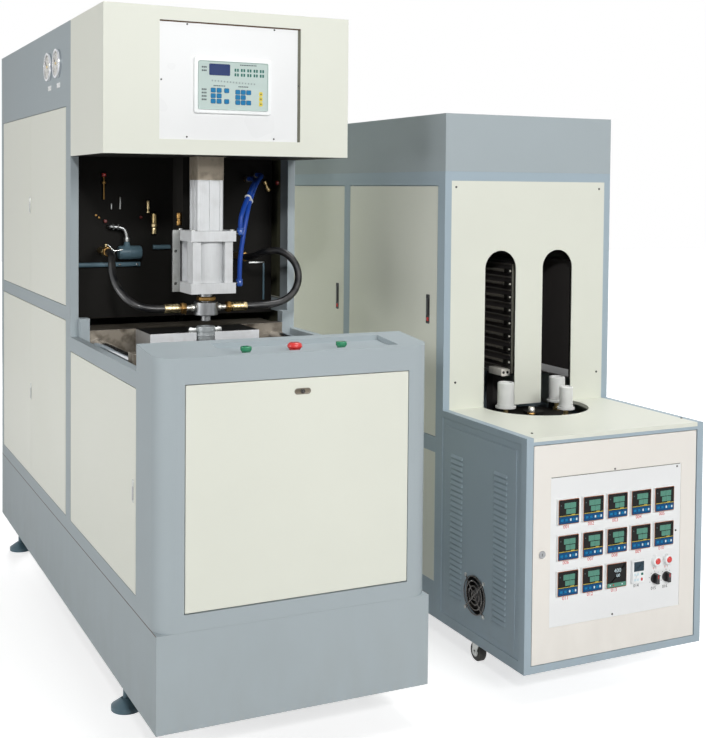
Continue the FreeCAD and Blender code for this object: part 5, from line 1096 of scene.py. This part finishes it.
def dress_latches():
    """Flush cam latches on the doors of the blower's left side."""
    for body, y, z in (("upper_rear_door", 1621.0, 1418.0), ("lower_rear_door", 1603.0, 727.0),
                       ("service_door", 213.0, 683.0)):
        x = low_of(body, X)
        plate = block(body + "_latch", (x - 1.4, x + 0.2), (y - 8, y + 8), (z - 31, z + 31))
        finish(sink(round_corners(plate, X, 6, 4), X, -1, 2, 0.8), zinc_plate, body, None, 0.3)
        lever = block(body + "_lever", (x - 2.6, x - 0.2), (y - 4.4, y + 4.4), (z - 25, z + 12))
        finish(round_corners(lever, X, 3, 3), machined_steel, body)


def dress_bay():
    """Small valves and wiring points round the black sheet, and the worn deck behind."""
    for x, z, radius in ((149.0, 1372.0, 6.0), (272.0, 1385.0, 5.0)):
        cap = turned("valve_cap", (x, SHEET_Y, z), Y,
                     [(radius, 0), (radius, 6), (radius - 1.6, 8), (0, 8.4)], 18, -1)
        finish(cap, dim_red, "machine", "air_parts", 0)
    for x, z in ((118.0, 1392.0), (128.0, 1384.0)):
        finish(hexagon("small_nut", (x, SHEET_Y - 5, z), 7, 5, Y), brown_brass, "machine", "air_parts", 0.2)
    union_foot = (722.0, SHEET_Y - 10, 1513.0)
    union = turned("wall_union", union_foot, Z,
                   [(7, 0), (8.6, 2), (8.6, 12), (6, 13), (6, 26), (8.8, 27), (8.8, 40), (0, 41)], 20, -1)
    twisted(union, Matrix.Rotation(math.radians(-26), 4, "Y"), place(*union_foot))
    finish(union, turned_brass, "machine", "air_parts", 0.2)
    cap = turned("wall_cap", (WALL_X, 1010.0, 1506.0), X, [(8, 0), (8, 6), (6, 8.4), (0, 9)], 18, -1)
    finish(cap, dim_red, "machine", "air_parts", 0)
    valve = turned("column_valve", (331.4, 860.0, 1364.0), Z,
                   [(7.4, 0), (8.6, 2), (8.6, 14), (6.4, 16), (6.4, 22), (8.6, 23), (8.6, 38), (6, 42)], 24)
    finish(valve, brown_brass, "machine", "air_parts", 0.2)
    on_sheet = (SHEET_Y - 5, SHEET_Y)
    finish(block("sheet_angle", (666, 726), on_sheet, (1220, 1226)), zinc_plate, "machine", "air_parts")
    finish(block("sheet_post", (720, 726), on_sheet, (1090, 1220)), blue_grey_coat, "machine", "air_parts")
    finish(block("bay_rear_deck", (70, 710), (977, 1098), (1018, 1024)), worn_plate, "machine", "steel", 1.0)


def dress_tube_clip():
    """The white clip that holds the two air tubes together, square to their run."""
    clip = round_corners(block("tube_clip", (528, 568), (790, 810), (1442, 1447)), Z, 9, 6)
    along = Vector((0.4, 0.555, 0.73)).normalized()
    across = Vector((-11, -10, 11))
    across = (across - across.dot(along) * along).normalized()
    turn = Matrix((across, along.cross(across), along)).transposed().to_4x4()
    clip.data.transform(Matrix.Translation(place(548.5, 795, 1450.5)) @ turn
                        @ Matrix.Translation(-place(548, 800, 1444.5)))
    finish(clip, white_plastic, "machine", "blue_tube", 0.5)


def dress_shaded_sleeve():
    """A brushed sleeve round the top of the stretch cylinder, under the head; its darker colour is partly painted
    shadow, the head's shadow on the cylinder's top.
    """
    x, y = ((low_of("stretch_cylinder", a) - 0.5, high_of("stretch_cylinder", a) + 0.5) for a in (X, Y))
    sleeve = block("cylinder_shaded_sleeve", x, y, (SHADED_SLEEVE_BOTTOM, high_of("stretch_cylinder", Z)))
    finish(round_corners(sleeve, Z, 3, 2), shaded_sleeve_steel, "machine", "cast_aluminium", 0)


def dress_plinth_seam():
    """The fine dark seam between the frame and the plinth on both sides of the blower."""
    depth = (low_of("blower_frame", Y), high_of("blower_frame", Y))
    for name, x in (("left", (-0.4, 0.1)), ("right", (BLOWER_WIDTH - 0.1, BLOWER_WIDTH + 0.4))):
        seam = block(name + "_plinth_seam", x, depth, (PLINTH_TOP - 1.0, PLINTH_TOP + 0.8))
        finish(seam, seam_and_shade_brown, "machine", "grey_paint", 0)


dress_fittings()
dress_neck_ring()
dress_bolts()
dress_front()
dress_latches()
dress_bay()
dress_tube_clip()
dress_shaded_sleeve()
dress_plinth_seam()


# ---- heater: instruments, knobs, lock and latches ----
INSTRUMENT_X = tuple(1237.0 + 88.7 * column for column in range(5))
INSTRUMENT_Z = tuple(552.0 - 105.5 * row for row in range(3))
PLATE_FACE = low_of("control_unit", Y) + 9
PROUD_FACE = PLATE_FACE - 9                 # the fronts of the instruments
LENS_FACE = PROUD_FACE - 0.9                # the black faces of the square ones
WINDOW_TOP = 655.0
TIMER_X = 1497.0
LAMP_Z = 365
KNOB_Z = 310
KNOBS = (("left_knob", 1566.0, "015"), ("right_knob", 1610.0, "016"))
SCREENS = ((-6.6, 18, 20, 16), (14, 18, 20, 16), (-2.4, 0.6, 15.6, 14.6), (14.6, 0.6, 17, 14.6))
STRIP_KEYS = ((-24, 9, key_blue), (-9, 8, key_blue), (6, 5, key_pale), (17, 9, key_blue), (27, 5, key_pale))
SLOT_PANEL_SCREWS = ((1132.5, 1495.5), (1700.5, 1493.6), (1137.2, 862.8), (1700.5, 866.1))


def panel_part(name, x, z, width, height, face, proud, material, corner=0.8):
    """A flat part of an instrument's face, with rounded corners and a soft rim."""
    part = block(name, (x - width / 2, x + width / 2), (face - proud, face + 0.1),
                 (z - height / 2, z + height / 2))
    round_corners(part, Y, corner, 2)
    return painted(sink(part, Y, -1, min(width, height) * 0.08, 0.12), material)


def lettering(text, x, z, size, face, material):
    """Plain figures that stand a hair proud of a face."""
    return figures(text, size, place(x, face - 0.1, z), Matrix.Rotation(math.pi / 2, 4, "X"), material)


def square_front(name, x, z):
    """The orange rim and the black face of a square instrument."""
    return [panel_part(name + "_rim", x, z, 73.2, 73.2, PROUD_FACE, 0.5, rim_orange, 2.5),
            panel_part(name + "_face", x, z, 70.4, 70.4, PROUD_FACE, 0.9, dial_black, 2.0)]


def controller(x, z, label):
    """A temperature controller: four screens, a yellow line and a blue key strip."""
    parts = square_front("controller", x, z)
    parts += [panel_part("yellow_line", x, z - 11.6, 69, 1.7, LENS_FACE, 0.3, line_yellow, 0.3),
              panel_part("yellow_tab", x + 15, z - 9.6, 12, 2.4, LENS_FACE, 0.3, line_yellow, 0.3),
              panel_part("key_strip", x, z - 24.2, 69, 20.5, LENS_FACE, 0.3, strip_blue)]
    for dx, dz, width, height in SCREENS:
        parts.append(panel_part("screen", x + dx, z + dz, width, height, LENS_FACE, 0.4, screen_teal))
    for dx, width, material in STRIP_KEYS:
        parts.append(panel_part("strip_key", x + dx, z - 24, width, 7, LENS_FACE - 0.3, 0.35, material))
    return parts + [panel_part("small_lamp", x - 28, z + 20, 3, 3, LENS_FACE, 0.3, legend_grey, 0.6),
                    lettering(label, x - 2, z - 47, 15, PLATE_FACE, label_red)]


def meter(x, z, label):
    """The counter of the wheel's drive: white figures and a teal foot."""
    parts = square_front("meter", x, z)
    parts += [panel_part("meter_foot", x, z - 28, 69, 12, LENS_FACE, 0.3, screen_teal),
              lettering("400", x + 3, z + 14, 17, LENS_FACE, key_pale),
              lettering("00", x + 5, z - 1, 14, LENS_FACE, key_pale)]
    for dx, material in ((-24, key_pale), (-12, label_red), (20, key_pale)):
        parts.append(panel_part("meter_key", x + dx, z - 28, 4, 4, LENS_FACE - 0.3, 0.3, material, 0.6))
    return parts + [lettering(label, x - 2, z - 47, 15, PLATE_FACE, label_red)]


def timer(x, z, label):
    """The small white timer with a dark screen and two rows of keys."""
    face = PROUD_FACE - 0.5
    parts = [panel_part("timer_face", x, z, 44.5, 66.5, PROUD_FACE, 0.5, white_plastic, 2.0),
             panel_part("timer_screen", x + 1, z + 16, 37, 29, face, 0.4, strip_dark),
             panel_part("timer_key", x + 13, z - 8, 8, 7, face, 0.5, lamp_green),
             panel_part("timer_key", x + 12, z - 24, 6, 9, face, 0.5, label_red),
             lettering(label, x - 2, z - 45, 14, PLATE_FACE, dial_black)]
    for dx, dz in ((-13, -8), (-2, -8), (-13, -24), (-3, -24)):
        parts.append(panel_part("timer_key", x + dx, z + dz, 7, 7, face, 0.5, key_pale))
    return parts


def indicator(x, label):
    """The red lamp above a knob, and the figures above and below it."""
    ring = turned("indicator_ring", (x, PROUD_FACE, LAMP_Z), Y,
                  [(10, 0), (14.6, 0), (15, 1), (15, 5), (13.4, 6.4), (10, 6.4)], 32, -1, hollow=True)
    lens = turned("indicator_lens", (x, PROUD_FACE, LAMP_Z), Y,
                  [(10, 0), (10, 5), (9, 7), (6, 8.6), (0, 9.2)], 28, -1)
    return [painted(ring, white_plastic), painted(lens, red_cap_plastic),
            lettering("0  1", x, 340, 9, PLATE_FACE, label_red),
            lettering(label, x - 4, 279, 13, PLATE_FACE, dial_black)]


def dial_mark(x, angle):
    return panel_part("dial_mark", x + 21 * math.cos(angle), KNOB_Z + 21 * math.sin(angle), 2, 2, PLATE_FACE, 0.3,
                      dial_black, 0.3)


def dress_instruments():
    """Twelve controllers, the counter, the timer, two lamps and the marks round the knobs."""
    parts = []
    for row, z in enumerate(INSTRUMENT_Z):
        for column, x in enumerate(INSTRUMENT_X):
            if row < 2 or column < 2:
                parts += controller(x, z, f"{5 * row + column + 1:03d}")
    parts += meter(INSTRUMENT_X[2], INSTRUMENT_Z[2], "013") + timer(TIMER_X, INSTRUMENT_Z[2], "014")
    for name, x, label in KNOBS:
        parts += indicator(x, label)
    parts += [dial_mark(x, math.radians(210 - 40 * i)) for name, x, label in KNOBS for i in range(7)]
    hang(joined("instrument_faces", parts), "control_door", 2)


def dress_knobs():
    """A skirt round each knob's foot and a red pointer on its grip."""
    for name, x, label in KNOBS:
        skirt = turned(name + "_skirt", (x, PLATE_FACE - 0.6, KNOB_Z), Y,
                       [(15.2, 0), (15.2, 3.4), (14, 4.6)], 36, -1)
        finish(skirt, black_plastic, name, "black_plastic", 0.2)
        grip = low_of(name, Y)
        pointer = block(name + "_pointer", (x - 1.3, x + 1.3), (grip - 0.5, grip + 2), (KNOB_Z + 2, KNOB_Z + 13.6))
        finish(pointer, red_cap_plastic, name, "black_plastic", 0.4)


def dress_plate_top_shade():
    """A thin dark strip of painted shade where the instrument plate's top edge sits back behind the door's window.
    """
    x = (low_of("control_door", X) + 62, high_of("control_door", X) - 62)
    seam = block("plate_top_shade", x, (PLATE_FACE - 0.7, PLATE_FACE + 0.1), (WINDOW_TOP - 2.4, WINDOW_TOP))
    finish(seam, shade_olive, "control_door", "keypad", 0.2)


def dress_lock():
    face = low_of("control_door", Y)
    lock = turned("desk_lock", (1148, face, 434.5), Y,
                  [(11.4, 0.2), (11.4, 1.2), (10.4, 2.2), (8.6, 2.2), (8.2, 1.4)], 36, -1)
    key_slot = block("desk_lock_slot", (1147.2, 1148.8), (face - 1.7, face - 1.3), (430.5, 438.5))
    parts = [painted(lock, machined_steel), painted(key_slot, dial_black)]
    hang(joined("desk_lock", parts), "control_door")


def dress_panel_screws():
    face = low_of("slot_panel", Y)
    table = high_of("heater_table", Z)
    screws("slot_panel_screws", [(x, face, z) for x, z in SLOT_PANEL_SCREWS], Y, -1, 3.6, screw_black, "machine")
    screws("table_screws", [(1150, 48, table), (1722, 60, table)], Z, 1, 3.8, screw_black, "machine")
    screws("plate_screw", [(1646, PLATE_FACE, 646), (1644.5, PLATE_FACE, 448), (1407, PLATE_FACE, 222)], Y, -1,
           3.0, screw_black, "control_door")
    screws("door_plate_screw", [(1408, PLATE_FACE - 1.5, 660)], Y, -1, 3.0, screw_black, "control_door")


def dress_door_latches():
    """Black latches with a red tab on the heater's two left doors."""
    for body, y, low, high in (("heater_front_door", 563, 1046, 1142), ("heater_rear_door", 1255, 1029, 1128)):
        x = low_of(body, X)
        plate = round_corners(block(body + "_latch", (x - 1.5, x + 0.2), (y - 11, y + 11), (low, high)), X, 4, 3)
        finish(sink(plate, X, -1, 3, 1.2), black_plastic, body, None, 0.3)
        lever = block(body + "_lever", (x - 3.5, x - 0.2), (y - 6, y + 6), (low + 26, high - 12))
        finish(lever, black_plastic, body, None, 1.2)
        tab = block(body + "_tab", (x - 3.0, x - 0.2), (y - 5, y + 5), (low + 8, low + 20))
        finish(tab, red_cap_plastic, body, None, 0.8)


dress_instruments()
dress_knobs()
dress_plate_top_shade()
dress_lock()
dress_panel_screws()
dress_door_latches()


# ---- lamp bank, holders and castors ----
LAMP_ROWS = tuple(911.0 + 43.7 * row for row in range(8))
HEATER_X = 1419.5                           # the middle of the heater, and of the wheel in it
WHEEL_Y = 425
WHEEL_TOP = 748.0
TRACK_RADIUS = 116


def dress_lamps():
    """End caps on the lamps, the light lips of the bank and reflector, and the terminal block."""
    for side, name in ((LEFT, "left"), (RIGHT, "right")):
        caps = [turned(name + "_lamp_cap", (HEATER_X + side * 50, 500, z), Y,
                       [(3.4, 0), (3.6, 1), (3, 2.6), (0, 3.2)], 16, -1) for z in LAMP_ROWS]
        finish(joined(name + "_lamp_caps", caps), ceramic, "machine", "lamp", 0)
        edge = HEATER_X + side * 42
        lip = block(name + "_bank_lip", (edge, edge + side * 8), (502, 1560), (863, 872))
        finish(lip, zinc_plate, "machine", "cast_aluminium", 0.8)
        heights = [row + 21.8 for row in LAMP_ROWS] + [LAMP_ROWS[0] - 21.9]
        ribs = [block(name + "_rib", (edge, edge + side * 5), (504, 1558), (z - 2.5, z + 2.5)) for z in heights]
        finish(joined(name + "_bank_ribs", ribs), rib_steel, "machine", "cast_aluminium")
        trim = block(name + "_bank_trim", (edge, edge - side * 10), (498.6, 502), (873, 1240))
        finish(trim, trim_steel, "machine", "cast_aluminium")
        wall = HEATER_X + side * 196
        rail = block(name + "_reflector_lip", (wall - side * 2.5, wall), (502, 1560), (847, 872))
        finish(rail, white_coat, "machine", "cast_aluminium")
    terminal = round_corners(block("terminal_block", (1345, 1377.5), (506, 584), (864, 888)), Y, 3, 3)
    finish(sink(terminal, Y, -1, 2.4, 0.6), ceramic, "machine", "cast_aluminium", 0.8)
    for x in (1353.5, 1369.0):
        hole = turned("terminal_hole", (x, 506.6, 876), Y, [(4.6, 0), (4.8, 0.5), (4.6, 0.9)], 20, -1)
        finish(hole, black_plastic, "machine", "cast_aluminium", 0)


def dress_holders():
    """The bare spindle at the wheel's front, and the rims and bands of three holders."""
    nut = hexagon("bare_spindle_foot", (1397, 405, WHEEL_TOP), 26, 9, Z)
    finish(nut, brown_brass, "preform_wheel", "brass", 0.5)
    peg = turned("bare_spindle", (1397, 405, WHEEL_TOP + 9), Z,
                 [(10.4, 0), (11, 1), (11, 12), (9.6, 14), (9.6, 17), (0, 18)], 28)
    finish(peg, port_zinc, "preform_wheel", "brass", 0.3)
    for degrees, radius, top in ((184.0, 27.0, 860.0), (14.0, 27.0, 860.0), (-62.0, 21.5, 850.0)):
        x = HEATER_X + TRACK_RADIUS * math.cos(math.radians(degrees))
        y = WHEEL_Y + TRACK_RADIUS * math.sin(math.radians(degrees))
        for name, low, profile in (
                ("holder_rim", top - 0.4, [(-7, 0), (-6.4, 1.1), (-3, 1.4), (-2.2, 0.2)]),
                ("holder_band", 786, [(-0.4, 0), (1.4, 0.6), (1.4, 3.4), (-0.4, 4)])):
            part = turned(name, (x, y, low), Z, [(radius + out, up) for out, up in profile], 40, hollow=True)
            finish(part, holder_plastic, "preform_wheel", "white_plastic", 0)


def dress_castors():
    """Hub caps on both sides of the castors' wheels."""
    for corner in CORNERS:
        low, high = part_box(corner + "_wheel")
        middle = (low + high) / 2
        for sign, edge in ((-1, low), (1, high)):
            centre = (edge[0] / MM - CORNER_X, middle[1] / MM - CORNER_Y, middle[2] / MM)
            hub = turned(corner + "_hub", centre, X, [(5.4, -0.6), (15.6, -0.6), (16, 0.5), (13, 1.4), (9, 1.4),
                                                      (8.4, 0.7), (5.4, 0.7)], 32, sign, hollow=True)
            finish(hub, zinc_plate, corner + "_wheel", "wheel_rubber", 0)


dress_lamps()
dress_holders()
dress_castors()
